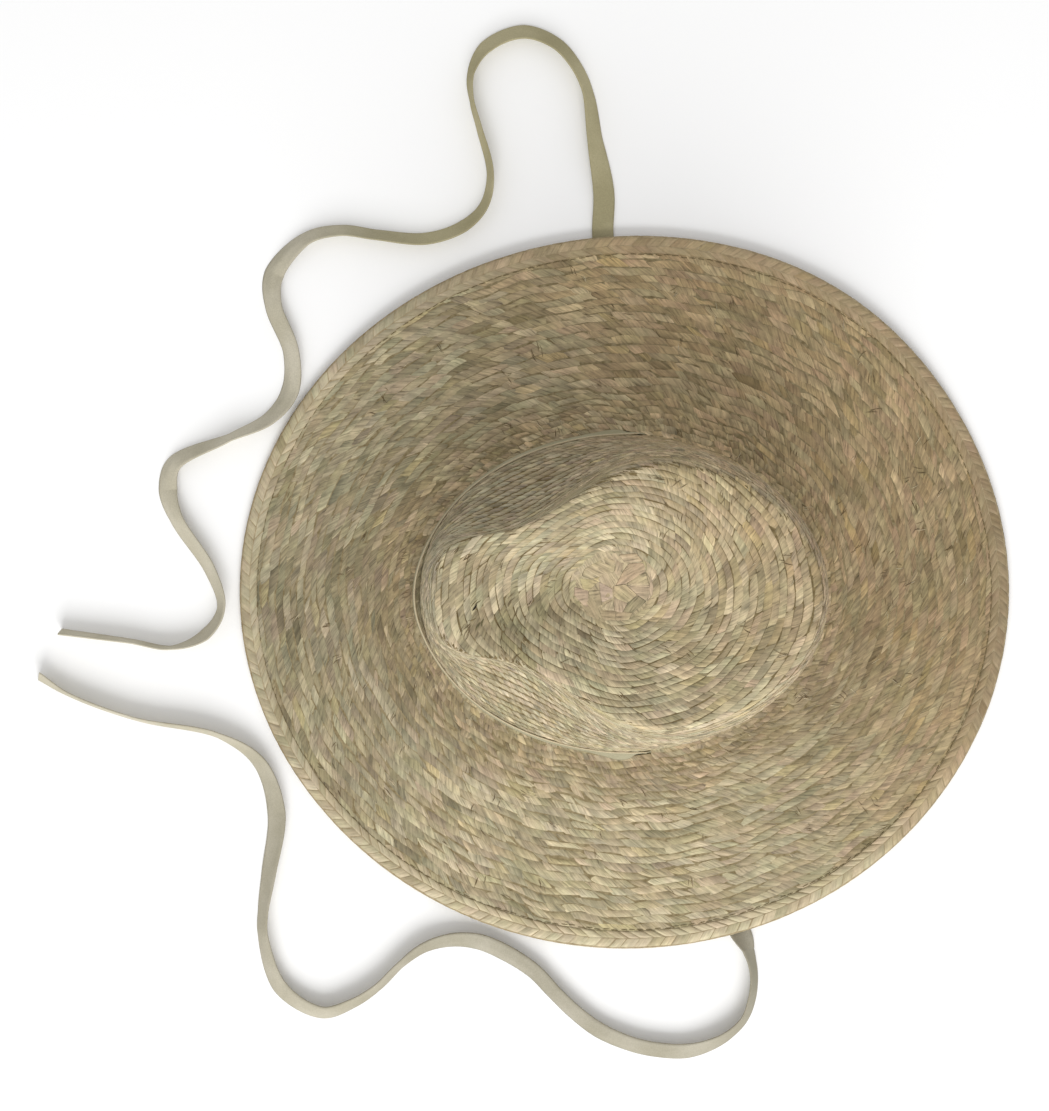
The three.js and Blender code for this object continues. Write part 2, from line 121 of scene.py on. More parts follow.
# The ties' routes as they lie: x, y, roll and, where the ribbon still hangs from its slit, z
TIE_LEFT_ROWS = [
    (0.0823, 0.0134, 0, 0.0122), (0.086, 0.0172, 0, 0.0076), (0.091, 0.0219, 0, 0.0028), (0.099, 0.027, 0),
    (0.12, 0.036, 0), (0.15, 0.049, 0), (0.1725, 0.0585, -4), (0.178, 0.0613, -26), (0.184, 0.0638, -58),
    (0.19, 0.0656, -66), (0.198, 0.0667, -68), (0.209, 0.0656, -66), (0.2192, 0.0619, -66),
    (0.227, 0.0545, -61), (0.2326, 0.0448, -52), (0.2361, 0.032, -41), (0.2355, 0.016, -41),
    (0.2327, 0.003, -42), (0.226, -0.013, -40), (0.2167, -0.0258, -44), (0.2063, -0.0367, -46),
    (0.1955, -0.047, -42), (0.1852, -0.063, -37), (0.18, -0.076, -39), (0.1792, -0.0895, -48),
    (0.183, -0.1032, -60), (0.1916, -0.1152, -70), (0.203, -0.1269, -68), (0.2115, -0.14, -60),
    (0.2163, -0.156, -51), (0.2036, -0.1774, -42), (0.1764, -0.1862, -60), (0.164, -0.186, -60),
    (0.144, -0.183, -46), (0.1134, -0.1792, -31), (0.0874, -0.188, -50), (0.0736, -0.2087, -74),
    (0.065, -0.2515, -80), (0.0524, -0.286, -78), (0.043, -0.3013, -66),
]
TIE_RIGHT_ROWS = [
    (-0.0821, 0.0086, 0, 0.0125), (-0.0863, 0.0094, 0, 0.0076), (-0.091, 0.0098, 0, 0.0028),
    (-0.1, 0.009, 0), (-0.125, 0.003, 0), (-0.155, -0.005, 0), (-0.183, -0.0108, 0), (-0.206, -0.0105, 10),
    (-0.2337, -0.0152, 46), (-0.2575, -0.0188, 60), (-0.271, -0.0248, 57), (-0.2827, -0.0351, 51),
    (-0.2887, -0.0522, 44), (-0.281, -0.071, 48), (-0.2668, -0.079, 72), (-0.2533, -0.0785, 82),
    (-0.2394, -0.0748, 79), (-0.2156, -0.069, 74), (-0.1991, -0.0723, 64), (-0.1885, -0.083, 53),
    (-0.1822, -0.102, 53), (-0.1841, -0.1273, 58), (-0.1865, -0.146, 56), (-0.1825, -0.164, 50),
    (-0.1645, -0.1808, 20), (-0.148, -0.1815, 38), (-0.1242, -0.1725, 42), (-0.104, -0.1728, 32),
    (-0.09, -0.183, 50), (-0.08, -0.203, 68), (-0.0664, -0.2324, 40), (-0.0529, -0.2355, 26),
    (-0.038, -0.231, 50), (-0.0116, -0.2133, 56), (0.008, -0.2075, 66), (0.0216, -0.2158, 58),
    (0.0283, -0.233, 84), (0.025, -0.254, 83), (0.0201, -0.2905, 78),
]

# Where the ties are creased lengthwise: x, y, how far along the tie, and the crease's height
TIE_LEFT_FOLDS = [
    (0.222, -0.02, 0.03, 0.0014), (0.19, -0.056, 0.03, 0.0014), (0.203, -0.178, 0.02, 0.0012),
]
TIE_RIGHT_FOLDS = [
    (-0.168, -0.176, 0.018, 0.0014), (-0.136, -0.176, 0.022, 0.0016), (-0.106, -0.173, 0.018, 0.0014),
    (-0.056, -0.235, 0.022, 0.0014),
]
RIB = 0.00008
TIE_STEP = 0.0004
TIE_SAMPLES = 8000

# The knot of flat leaves in the middle of the crown's top. Each leaf has a colour as it looks, the
# direction of its fibres, and corners in millimetres from the knot's middle.
KNOT_REACH = 0.0165
KNOT_BASE = ((192, 175, 142), 30, [
    (-18, -9), (-10, -19), (5, -21), (16, -14), (19, 0), (15, 14), (5, 21), (-10, 20), (-18, 9),
])
KNOT_LEAVES = [
    ((207, 188, 150), 50, [(0, 0.1), (-0.9, 5.6), (4.2, 11.2), (8.1, 6.5), (5.4, 0)]),
    ((210, 184, 160), 10, [(5.4, 0), (8.1, 6.5), (12.5, 4), (11.8, 0.7)]),
    ((205, 188, 158), 160, [(6.5, -0.4), (11.6, 0.4), (10.8, -6.9)]),
    ((216, 193, 174), 75, [(1.4, -0.7), (5.6, -0.3), (7.6, -5.6), (-2.2, -7)]),
    ((188, 172, 140), 100, [(2, -6.7), (8.5, -5.6), (11.9, -7.8), (12.3, -10.5), (2.2, -11.9)]),
    ((200, 181, 122), 72, [(-0.7, 0.2), (0.2, -1.2), (-3.4, -10.5), (-5.8, -6.9), (-6.9, 0.6)]),
    ((176, 160, 124), 62, [
        (-3.4, -10.5), (-6.8, 0.5), (-12.3, 1.1), (-13.7, -4), (-8.3, -14), (-4.7, -15.2),
    ]),
    ((180, 158, 132), 165, [(-0.7, 0.7), (-3.2, 2.2), (-10.8, 5), (-12.3, 1.2), (-6.8, 0.7)]),
    ((194, 166, 138), 120, [(-0.4, 1.1), (-1.3, 6.1), (-7.6, 15.9), (-11.2, 14.1), (-10.8, 7.2), (-6.1, 4)]),
    ((208, 190, 152), 115, [(-1.3, 6.5), (-5.4, 12.3), (-6.5, 15.2), (-0.5, 16.9), (-0.3, 6.9)]),
    ((204, 184, 156), 90, [(-0.3, 6.5), (-0.4, 17), (3.6, 17.3), (6.9, 15.5), (4, 11.2)]),
    ((160, 150, 118), 138, [(4.7, 11.5), (7.2, 15.5), (12.6, 9), (12.6, 4.3), (8.2, 6.6)]),
    ((192, 170, 138), 88, [(11.2, -6.9), (11.9, 0.7), (16.4, 1.1), (15.3, -5.4)]),
    ((204, 188, 140), 78, [(-4, -16.2), (-3.2, -10.8), (-2.2, -7.2), (2.2, -11.9), (3.6, -13.7)]),
    ((202, 176, 156), 95, [(0.4, -18.6), (2.2, -12), (10, -12.3), (9, -14.4), (4.3, -18.6)]),
    ((190, 168, 136), 100, [(-11.6, 5), (-11.6, 14), (-15.6, 10.8), (-15, 2.2)]),
    ((196, 174, 142), 92, [(12, 1.1), (12.6, 9), (15.8, 7.2), (16.4, 1.1)]),
    ((200, 178, 154), 20, [(-6.5, 17.3), (0, 18.8), (4, 18.4), (7.2, 15.9), (3.6, 17.3), (-0.4, 17.1)]),
]

# The photograph looks straight down from this place
CAMERA_PLACE = (-0.0191, -0.0514, 1.4)
VIEW_HEIGHT = 0.5738
SENSOR = 36
FLOOR_HALF = 3
FLOOR_DROP = 0.0002
WORLD_LIGHT = 0.66
SOFTBOX = {"place": (1.7, 0, 1.5), "size": 1.5, "energy": 39, "aim": (0, 0, 0.05)}


# Shapes of numbers
TINY = 1e-12


def smooth(value, low, high):
    share = np.clip((value - low) / (high - low), 0, 1)
    return share * share * (3 - 2 * share)


def bell(value, at, spread):
    return np.exp(-0.5 * ((value - at) / spread) ** 2)


def bell_round(angle, at, spread):
    return bell((angle - at + 180) % 360 - 180, 0, spread)


def length_of(vectors):
    return np.linalg.norm(vectors, axis=-1)


def unit(vectors):
    return vectors / np.maximum(length_of(vectors), TINY)[..., None]


def running_length(points, axis):
    steps = length_of(np.diff(points, axis=axis))
    start = np.zeros_like(np.take(steps, [0], axis))
    return np.concatenate([start, np.cumsum(steps, axis)], axis)


def catmull_rom(points, t):
    """A centripetal Catmull-Rom curve through points, with t from 0 to 1."""
    last = len(points) - 1
    place = last * np.clip(t, 0, 1)
    index = np.minimum(place.astype(int), last - 1)
    w = (place - index)[..., None]
    ends = [2 * points[0] - points[1]], points, [2 * points[-1] - points[-2]]
    held = np.concatenate(ends)
    p0, p1, p2, p3 = (held[index + step] for step in range(4))
    spans = (p1 - p0, p2 - p1, p3 - p2)
    d0, d1, d2 = (length_of(span)[..., None] ** 0.5 for span in spans)
    out = ((p1 - p0) / d0 - (p2 - p0) / (d0 + d1) + (p2 - p1) / d1) * d1
    into = ((p2 - p1) / d1 - (p3 - p1) / (d1 + d2) + (p3 - p2) / d2) * d1
    return p1 + out * w + (3 * (p2 - p1) - 2 * out - into) * w**2 + (2 * (p1 - p2) + out + into) * w**3


# Outlines in plan
def oval(angle, half_width, half_length, y):
    turn = np.radians(angle)
    return np.stack([half_width * np.sin(turn), y - half_length * np.cos(turn)], -1)


def foot_outline(angle):
    return oval(angle, CROWN_WIDTH / 2, CROWN_LENGTH / 2, CROWN_SHIFT)


def brim_outline(angle):
    point = oval(angle, BRIM_WIDTH / 2, BRIM_LENGTH / 2, 0)
    reach = sum(height * bell_round(angle, at, spread) for at, spread, height in OUTLINE_SWELLS)
    return point + unit(point) * np.asarray(reach)[..., None]


def outwards(angle):
    return unit(brim_outline(angle) - foot_outline(angle))


def brim_width(angle):
    return length_of(brim_outline(angle) - foot_outline(angle))


def crest_outline(angle):
    turn = np.radians(angle)
    power = np.where(np.cos(turn) > 0, CREST_PLAN["front"], CREST_PLAN["back"])
    across, along = (np.sign(part) * np.abs(part) ** (2 / power) for part in (np.sin(turn), np.cos(turn)))
    return np.stack([
        CREST_PLAN["half_width"] * across,
        CREST_PLAN["y"] - CREST_PLAN["half_length"] * along,
    ], -1)


def raised(plan, height):
    return np.concatenate([plan, np.broadcast_to(height, plan.shape[:-1])[..., None]], -1)


# The brim's upper surface. t runs from 0 to 1 round the fillet, then to 2 at the edge.
def brim_height(angle, share):
    side = np.abs((angle + 90) % 180 - 90)
    lift = SIDE_LIFT["height"] * smooth(side, SIDE_LIFT["from"], SIDE_LIFT["to"])
    height = EDGE_TOP + BRIM_RISE * (1 - np.clip(share, 0, 1)) ** BRIM_FLATTENING + lift * share**2
    calm = smooth(share, 0, WAVE_FREE_FOOT) * smooth(1 - share, 0, WAVE_FREE_EDGE)
    waves = [
        tall * bell_round(angle, at, spread) * bell(share, middle, breadth)
        for at, spread, middle, breadth, tall in BRIM_WAVES
    ]
    return height + sum(waves) * calm


def brim_at(angle, distance):
    plan = foot_outline(angle) + outwards(angle) * distance[..., None]
    return raised(plan, brim_height(angle, distance / brim_width(angle)))


def brim_surface(angle, t):
    turn = np.minimum(t, 1) * math.pi / 2
    sheet = FILLET_RADIUS + (brim_width(angle) - PLAIT_LEG - GAP - FILLET_RADIUS) * (t - 1)
    point = brim_at(angle, np.where(t <= 1, FILLET_RADIUS * (1 - np.cos(turn)), sheet))
    point[..., 2] += np.where(t <= 1, FILLET_RADIUS * (1 - np.sin(turn)), 0)
    return point


# The crown's outer surface. t runs from 0 at the foot to 1 at the crest and 2 at the knot.
def crest_height(angle):
    return CREST_HEIGHT - CREST_FALL_BACK * (1 - np.cos(np.radians(angle))) / 2


def pinched(plan, share):
    narrow = 1 - PINCH["share"] * share * bell(plan[..., 1], PINCH["y"], PINCH["spread"])
    return plan * np.stack([narrow, np.ones_like(narrow)], -1)


def rim_outline(angle):
    return pinched(crest_outline(angle), WALL_ROWS[-1, 2])


def top_height(plan, rim_height, reach):
    """The height of the crown's top at a share of the way from the knot to the rim."""
    middle = CREST_HEIGHT - CREST_FALL_BACK / 2
    return middle + (rim_height - middle) * reach - dish_drop(plan, reach)


def dish_drop(plan, reach):
    sink = smooth(plan[..., 1], CREASE["front"], CREASE["deepest"])
    along = sink * (1 - smooth(plan[..., 1], CREASE["deepest"], CREASE["back"]))
    crease = CREASE["depth"] * along * bell(plan[..., 0], 0, CREASE["half_width"])
    return DISH_DEPTH * (1 - reach**2) ** 2 + crease * (1 - reach**6)


def crown_top_height(plan):
    """The height of the crown's top over a place."""
    angle = np.arange(0, 360, 0.25)
    rim = rim_outline(angle) - KNOT
    rim_turn, turn = (np.arctan2(away[..., 0], -away[..., 1]) for away in (rim, plan - KNOT))
    rim_away, rim_height = (
        np.interp(turn, rim_turn, column, period=2 * math.pi)
        for column in (length_of(rim), crest_height(angle))
    )
    return top_height(plan, rim_height, length_of(plan - KNOT) / rim_away)


def crown_surface(angle, t):
    row = catmull_rom(WALL_ROWS, t)
    foot = foot_outline(angle)
    wall = pinched(foot + (crest_outline(angle) - foot) * row[..., 1:2], row[..., 2])
    wall = raised(wall, CROWN_FOOT + (crest_height(angle) - CROWN_FOOT) * row[..., 0])
    reach = np.clip(2 - t, 0, 1)
    top = KNOT + (rim_outline(angle) - KNOT) * reach[..., None]
    return np.where((t > 1)[..., None], raised(top, top_height(top, crest_height(angle), reach)), wall)


def wall_inset(angle, height):
    """How far the crown's wall stands inside its foot at a height."""
    rise = (height - CROWN_FOOT) / (crest_height(angle) - CROWN_FOOT)
    wall = crown_surface(angle, np.clip(rise, 0, 1))
    return ((foot_outline(angle) - wall[..., :2]) * outwards(angle)).sum(-1)


# Pieces
def srgb(red, green, blue):
    """A colour given as it looks, from 0 to 255, in linear light."""
    share = np.array([red, green, blue]) / 255
    return np.where(share <= 0.04045, share / 12.92, ((share + 0.055) / 1.055) ** 2.4)


def add_object(name, data):
    made = bpy.data.objects.new(name, data)
    bpy.context.scene.collection.objects.link(made)
    return made


def add_piece(name, points, quads, material, maps=None, colours=None):
    """One mesh of four-sided faces, which rides on the hat. maps are its named UV maps."""
    mesh = bpy.data.meshes.new(name)
    mesh.from_pydata(points, [], quads, shade_flat=False)
    for map_name, uvs in (maps or {}).items():
        layer = mesh.uv_layers.new(name=map_name)
        layer.data.foreach_set("uv", np.asarray(uvs, np.float32)[quads.ravel()].ravel())
    if colours is not None:
        attribute = mesh.attributes.new("leaf_colour", "FLOAT_COLOR", "POINT")
        opaque = np.concatenate([colours, np.ones((len(colours), 1))], -1)
        attribute.data.foreach_set("color", opaque.astype(np.float32).ravel())
    mesh.validate()
    mesh.materials.append(material)
    piece = add_object(name, mesh)
    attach(piece, "root")
    return piece


def repeated(quads, number, vertices):
    """Faces of as many like pieces, each of whose vertices follow the last one's."""
    return (quads + np.arange(number)[:, None, None] * vertices).reshape(-1, 4)


def grid_quads(rows, columns, closed_rows=False, closed_columns=False):
    """Faces of a grid of points that is stored row by row."""
    row = np.arange(rows if closed_rows else rows - 1)[:, None]
    column = np.arange(columns if closed_columns else columns - 1)[None, :]
    next_row = (row + 1) % rows
    next_column = (column + 1) % columns
    corners = (row, column), (next_row, column), (next_row, next_column), (row, next_column)
    return np.stack([r * columns + c for r, c in corners], -1).reshape(-1, 4)


# Materials
def node_material(name, roughness, specular):
    material = bpy.data.materials.new(name)
    material.use_nodes = True
    shader = material.node_tree.nodes["Principled BSDF"]
    shader.inputs["Roughness"].default_value = roughness
    shader.inputs["Specular IOR Level"].default_value = specular
    return material, material.node_tree, shader


def add_node(tree, kind, inputs=None, **settings):
    """A node with its settings and its inputs, which are values or other nodes' outputs."""
    node = tree.nodes.new(kind)
    for key, value in settings.items():
        setattr(node, key, value)
    for key, value in (inputs or {}).items():
        if isinstance(value, bpy.types.NodeSocket):
            tree.links.new(value, node.inputs[key])
        else:
            node.inputs[key].default_value = value
    return node


def maths(tree, operation, *values):
    return add_node(tree, "ShaderNodeMath", dict(enumerate(values)), operation=operation).outputs[0]


def noise(tree, place, scale, detail=3.0, stretch=(1, 1, 1)):
    """Noise from 0 to 1 over places, which it stretches."""
    mapping = add_node(tree, "ShaderNodeMapping", {"Vector": place, "Scale": stretch})
    inputs = {"Vector": mapping.outputs["Vector"], "Scale": scale, "Detail": detail}
    return add_node(tree, "ShaderNodeTexNoise", inputs).outputs[0]


def spread(tree, value, low, high, to_low, to_high):
    inputs = {0: value, 1: low, 2: high, 3: to_low, 4: to_high}
    return add_node(tree, "ShaderNodeMapRange", inputs).outputs["Result"]


def blended(tree, mode, factor, first, second):
    inputs = {0: factor, 6: first, 7: second}
    return add_node(tree, "ShaderNodeMix", inputs, data_type="RGBA", blend_type=mode).outputs[2]


def grey(tree, value):
    return add_node(tree, "ShaderNodeCombineColor", {0: value, 1: value, 2: value}).outputs[0]


def object_place(tree):
    return add_node(tree, "ShaderNodeTexCoord").outputs["Object"]


def axes_of(tree, vector):
    return add_node(tree, "ShaderNodeSeparateXYZ", {"Vector": vector}).outputs


def add_bump(tree, shader, height, strength, distance):
    inputs = {"Strength": strength, "Distance": distance, "Height": height}
    bump = add_node(tree, "ShaderNodeBump", inputs)
    tree.links.new(bump.outputs["Normal"], shader.inputs["Normal"])


# The middle of a noise's range, and each noise's scale, detail and stretch
MIDDLE = (0.3, 0.7)
NEAR_MIDDLE = (0.35, 0.65)
FIBRES = (1.0, 4.0, (6.5, 1.0, 1))
GRAIN = (1.0, 3.0, (2.5, 12, 1))
VEINS = (1.0, 2.0, (16, 1.6, 1))
BREAKS = (220, 2.0)
BLOTCHES = (200, 4.0)
GREEN_PATCHES = (110, 3.0)
WEAVE = (1500, 2.0)
WORN_PATCHES = (40, 3.0)
PINKER = (1.025, 0.98, 0.955, 1)
GREENER = (0.985, 1.005, 0.93, 1)


def broken_shade_line(tree, share, power, broken, dark):
    """Darkens both ends of a share from 0 to 1, where broken is high."""
    off_middle = maths(tree, "ABSOLUTE", maths(tree, "SUBTRACT", maths(tree, "MULTIPLY", share, 2.0), 1.0))
    line = maths(tree, "MULTIPLY", maths(tree, "POWER", off_middle, power), broken)
    return spread(tree, line, 0, 1, 1, dark)


def leaf_material(name, roughness, specular, lines, fibrous):
    """Dry palm leaf: fibres run across each cell, with broken dark lines along its edges, painted as the
    shade in the gaps between cells.
    """
    material, tree, shader = node_material(name, roughness, specular)
    place = object_place(tree)
    leaf, cell = (add_node(tree, "ShaderNodeUVMap", uv_map=name).outputs["UV"] for name in ("leaf", "cell"))
    cell = axes_of(tree, cell)
    colour = add_node(tree, "ShaderNodeAttribute", attribute_name="leaf_colour").outputs["Color"]
    fibres, grain, veins = (noise(tree, leaf, *kind) for kind in (FIBRES, GRAIN, VEINS))
    broken = spread(tree, noise(tree, place, *BREAKS), 0.42, 0.58, 0, 1)
    shades = [
        spread(tree, fibres, *MIDDLE, 1 - fibrous, 1 + 0.8 * fibrous),
        spread(tree, grain, *MIDDLE, 0.92, 1.06),
        spread(tree, veins, 0.56, 0.7, 1, 1 - 1.4 * fibrous),
        spread(tree, noise(tree, place, *BLOTCHES), *MIDDLE, 0.88, 1.1),
        # The two broken lines are painted shade along each cell's edges
        broken_shade_line(tree, cell["X"], 30.0, broken, lines),
        broken_shade_line(tree, cell["Y"], 20.0, broken, lines),
    ]
    shade = shades[0]
    for other in shades[1:]:
        shade = maths(tree, "MULTIPLY", shade, other)
    greener = spread(tree, noise(tree, place, *GREEN_PATCHES), *NEAR_MIDDLE, 0, 1)
    tinted = blended(tree, "MIX", greener, PINKER, GREENER)
    shaded = blended(tree, "MULTIPLY", 1.0, colour, grey(tree, shade))
    shaded = blended(tree, "MULTIPLY", 1.0, shaded, tinted)
    tree.links.new(shaded, shader.inputs["Base Color"])
    worn = spread(tree, fibres, *MIDDLE, roughness + 0.1, roughness - 0.1)
    tree.links.new(worn, shader.inputs["Roughness"])
    add_bump(tree, shader, fibres, 0.6, 0.0003)
    return material


def mottled_material(name, dark, pale, scale=400, detail=4.0, roughness=0.85, specular=0.1):
    """Two colours in fine noise: used dark on the shells under the leaves, as painted shade in the gaps
    between them, and for the stitching thread.
    """
    material, tree, shader = node_material(name, roughness, specular)
    ramp = spread(tree, noise(tree, object_place(tree), scale, detail), *MIDDLE, 0, 1)
    mixed = blended(tree, "MIX", ramp, (*srgb(*dark), 1), (*srgb(*pale), 1))
    tree.links.new(mixed, shader.inputs["Base Color"])
    return material


RIBBON_SHADES = ((165, 159, 131), (181, 175, 148))
RIBBON_EDGE_HIGHLIGHT = (212, 196, 164)
OLIVE_TINT = (1, 0.97, 0.87, 1)
GREY_TINT = (1, 1, 1.15, 1)


def ribbon_material():
    """Matt grosgrain, whose tint changes with the place. Its upward top edge beside the crown is a painted
    highlight, and its lightness by place is painted light and shade.
    """
    material, tree, shader = node_material("grosgrain", 0.88, 0.15)
    place = object_place(tree)
    axes = axes_of(tree, place)
    facing = axes_of(tree, add_node(tree, "ShaderNodeNewGeometry").outputs["Normal"])
    weave = noise(tree, place, *WEAVE)
    worn = spread(tree, noise(tree, place, *WORN_PATCHES), *NEAR_MIDDLE, 0, 1)
    colour = blended(tree, "MIX", worn, *((*srgb(*shade), 1) for shade in RIBBON_SHADES))
    greyer = maths(tree, "MAXIMUM", spread(tree, axes["X"], -0.16, -0.06, 0, 1),
                   spread(tree, axes["Y"], -0.17, -0.1, 1, 0))
    tint = blended(tree, "MIX", greyer, OLIVE_TINT, GREY_TINT)
    on_surface = spread(tree, axes["Z"], 0.014, 0.018, 1, 0)
    colour = blended(tree, "MULTIPLY", on_surface, colour, tint)
    # Painted highlight on the ribbon's top edge beside the crown, where it faces up
    lit_top_edge = maths(tree, "MULTIPLY", spread(tree, axes["Z"], 0.018, 0.022, 0, 1),
                        spread(tree, facing["Z"], 0.5, 0.68, 0, 0.85))
    colour = blended(tree, "MIX", lit_top_edge, colour, (*srgb(*RIBBON_EDGE_HIGHLIGHT), 1))
    # Painted light and shade by place: lighter towards the front ends, darker on the side nearest the softbox
    by_place = maths(tree, "MULTIPLY", spread(tree, axes["Y"], -0.2, -0.1, 1.24, 1),
                     spread(tree, axes["X"], 0.05, 0.12, 1, 0.9))
    shade = maths(tree, "MULTIPLY", spread(tree, weave, *MIDDLE, 0.9, 1.06), by_place)
    shaded = blended(tree, "MULTIPLY", 1.0, colour, grey(tree, shade))
    tree.links.new(shaded, shader.inputs["Base Color"])
    add_bump(tree, shader, weave, 0.3, 0.0001)
    return material


LEAF = leaf_material("palm_leaf", 0.5, 0.35, 0.28, 0.34)
BRIM_LEAF = leaf_material("brim_palm_leaf", 0.55, 0.3, 0.76, 0.34)
EDGE_LEAF = leaf_material("plaited_palm_leaf", 0.55, 0.3, 0.94, 0.14)
# Painted shade: the shells under the leaves are coloured dark, as the gaps between the leaves lie in shade
CROWN_GAP_SHADE = mottled_material("painted_shade_between_crown_leaves", (96, 82, 54), (136, 120, 86))
BRIM_GAP_SHADE = mottled_material("painted_shade_between_brim_leaves", (116, 102, 72), (156, 142, 110))
EDGE_GAP_SHADE = mottled_material("painted_shade_between_edge_leaves", (140, 124, 94), (176, 160, 130))
RIBBON = ribbon_material()
THREAD = mottled_material("stitching", (96, 84, 56), (134, 119, 84), 2500, 2.0, 0.8, 0.2)

# How leaves look in full light, and how common each colour is
LEAF_COLOURS = [
    ((184, 172, 142), 5), ((180, 175, 146), 3), ((168, 152, 120), 4), ((184, 165, 141), 3),
    ((186, 170, 124), 0.7), ((156, 146, 112), 2), ((200, 189, 162), 1.6),
]
MEAN_LEAF = np.average([srgb(*colour) for colour, _ in LEAF_COLOURS], 0, [share for _, share in LEAF_COLOURS])
STAIN = srgb(140, 132, 98)
FLECK = srgb(112, 98, 62)
# How much browner leaves are painted on the side in shade and beside the crown's foot, as warm painted shade
BROWNER = np.array([1.03, 0.905, 0.79])

# The wavelength and seed of each smooth noise
BROAD_STAINS = (0.05, 5)
SMALL_STAINS = (0.018, 6)
PATCHES = (0.03, 7)
FLECKS = (0.011, 8)
WOBBLES = (0.05, 9)
RIPPLE_WAVES = 7

# Changes of tone: how strong each is, and the two values between which it sets in
STAINED = (0.5, 0.3, 1.6)
FLECKED = (0.45, 1.2, 2)
# Painted shade: the brim is darker at its front and back, and beside the crown's foot on the wearer's left
DARKER_FRONT_AND_BACK = (0.24, 0.08, 0.13)
DARKER_BY_CROWN = (0.24, -0.02, 0.06)
DARKER_CROWN_BACK = (0.08, 0.05, 0.09)
# Painted light: the crown is paler on the wearer's left, towards the softbox, and darker on its right
PALER_CROWN_SIDE = (0.07, 0.06)
CALMER_BACK = (0.5, -0.05, 0.1)
PATCHY = 0.04
TONE_LIMITS = (0.7, 1.3)
PALEST = 0.95

# Directions in plan in which leaves get darker on the plait, and browner: painted shade on the side away from
# the softbox, the browner one a warm painted shade
FAR_SIDE = (-0.84, 0.54)
BROWN_SIDE = (-0.6, 0.8)

# Sizes of ovals like the crown's foot, between which a change sets in
CROWN_ENDS = (0.96, 1)
BRIM_STARTS = (1, 1.04)
FOOT_FADES = (1.12, 1.45)


def ripple(place, wavelength, seed):
    """Smooth noise, mostly from -1 to 1, over places in space."""
    draw = np.random.default_rng(seed)
    waves = unit(draw.normal(size=(RIPPLE_WAVES, 3))) * draw.uniform(0.7, 1.5, (RIPPLE_WAVES, 1))
    waves = waves * 2 * math.pi / wavelength
    return np.sin(place @ waves.T + draw.uniform(0, 2 * math.pi, RIPPLE_WAVES)).sum(-1) / 3


def towards(direction, x, y):
    return direction[0] * x + direction[1] * y


def faded(value, amount, low, high):
    return amount * smooth(value, low, high)


def picked(table, number, draw):
    """Colours drawn from a table of colours and how common each is."""
    shares = np.array([share for _, share in table]) / sum(share for _, share in table)
    colours = np.array([srgb(*colour) for colour, _ in table])
    return colours[draw.choice(len(table), number, p=shares)]


def leaf_tones(places, sizes):
    """How much paler or darker leaves are by their place, which mostly paints light and shade over the hat,
    how much browner, a warm painted shade, and how varied.
    """
    x, y = places[:, 0], places[:, 1]
    away = np.maximum(np.hypot(x, y), 0.02)
    ring = np.hypot(x / (CROWN_WIDTH / 2), (y - CROWN_SHIFT) / (CROWN_LENGTH / 2))
    on_brim = smooth(ring, *BRIM_STARTS)
    by_crown = on_brim * (1 - smooth(ring, *FOOT_FADES))
    pale_side, reach = PALER_CROWN_SIDE
    crown = pale_side * np.clip(x / reach, -1, 1) - faded(y, *DARKER_CROWN_BACK)
    far_side = smooth(towards(FAR_SIDE, x, y) / away, -0.1, 0.35)
    tone = 1 - (y / away) ** 2 * faded(away, *DARKER_FRONT_AND_BACK)
    tone *= 1 - by_crown * faded(x, *DARKER_BY_CROWN)
    tone *= 1 + crown * (1 - smooth(ring, *CROWN_ENDS)) - sizes["far_side"] * far_side
    browner = np.maximum(smooth(towards(BROWN_SIDE, x, y), -0.03, 0.12), 0.6 * by_crown)
    varied = sizes["contrast"] * (1 + on_brim * (0.2 - faded(y, *CALMER_BACK)))
    return tone, browner[:, None], varied


def leaf_colours(places, draw, sizes):
    """A colour for each leaf, with olive stains that pass over several leaves, and the painted light and
    shade of its place.
    """
    number = len(places)
    colour, other = (picked(LEAF_COLOURS, number, draw) for _ in range(2))
    colour += (other - colour) * draw.uniform(0.1, 0.9, (number, 1))
    colour += (MEAN_LEAF - colour) * sizes["evenness"]
    stain = 0.6 * ripple(places, *BROAD_STAINS) + ripple(places, *SMALL_STAINS)
    colour += (STAIN - colour) * faded(stain, *STAINED)[:, None]
    fleck = ripple(places, *FLECKS) + 0.5 * draw.normal(size=number)
    colour += (FLECK - colour) * faded(fleck, *FLECKED)[:, None]
    by_place, browner, varied = leaf_tones(places, sizes)
    colour *= 1 + (BROWNER - 1) * browner
    tone = 1 + varied * draw.normal(size=number) + PATCHY * ripple(places, *PATCHES)
    tone = np.clip(tone, *TONE_LIMITS) * by_place
    return np.clip(colour * tone[:, None] * sizes["bright"], 0, PALEST)


# Woven sheets
SPOKES = 720
LEAST_GIRTH = 1e-9
SHEET_SAMPLES = 500


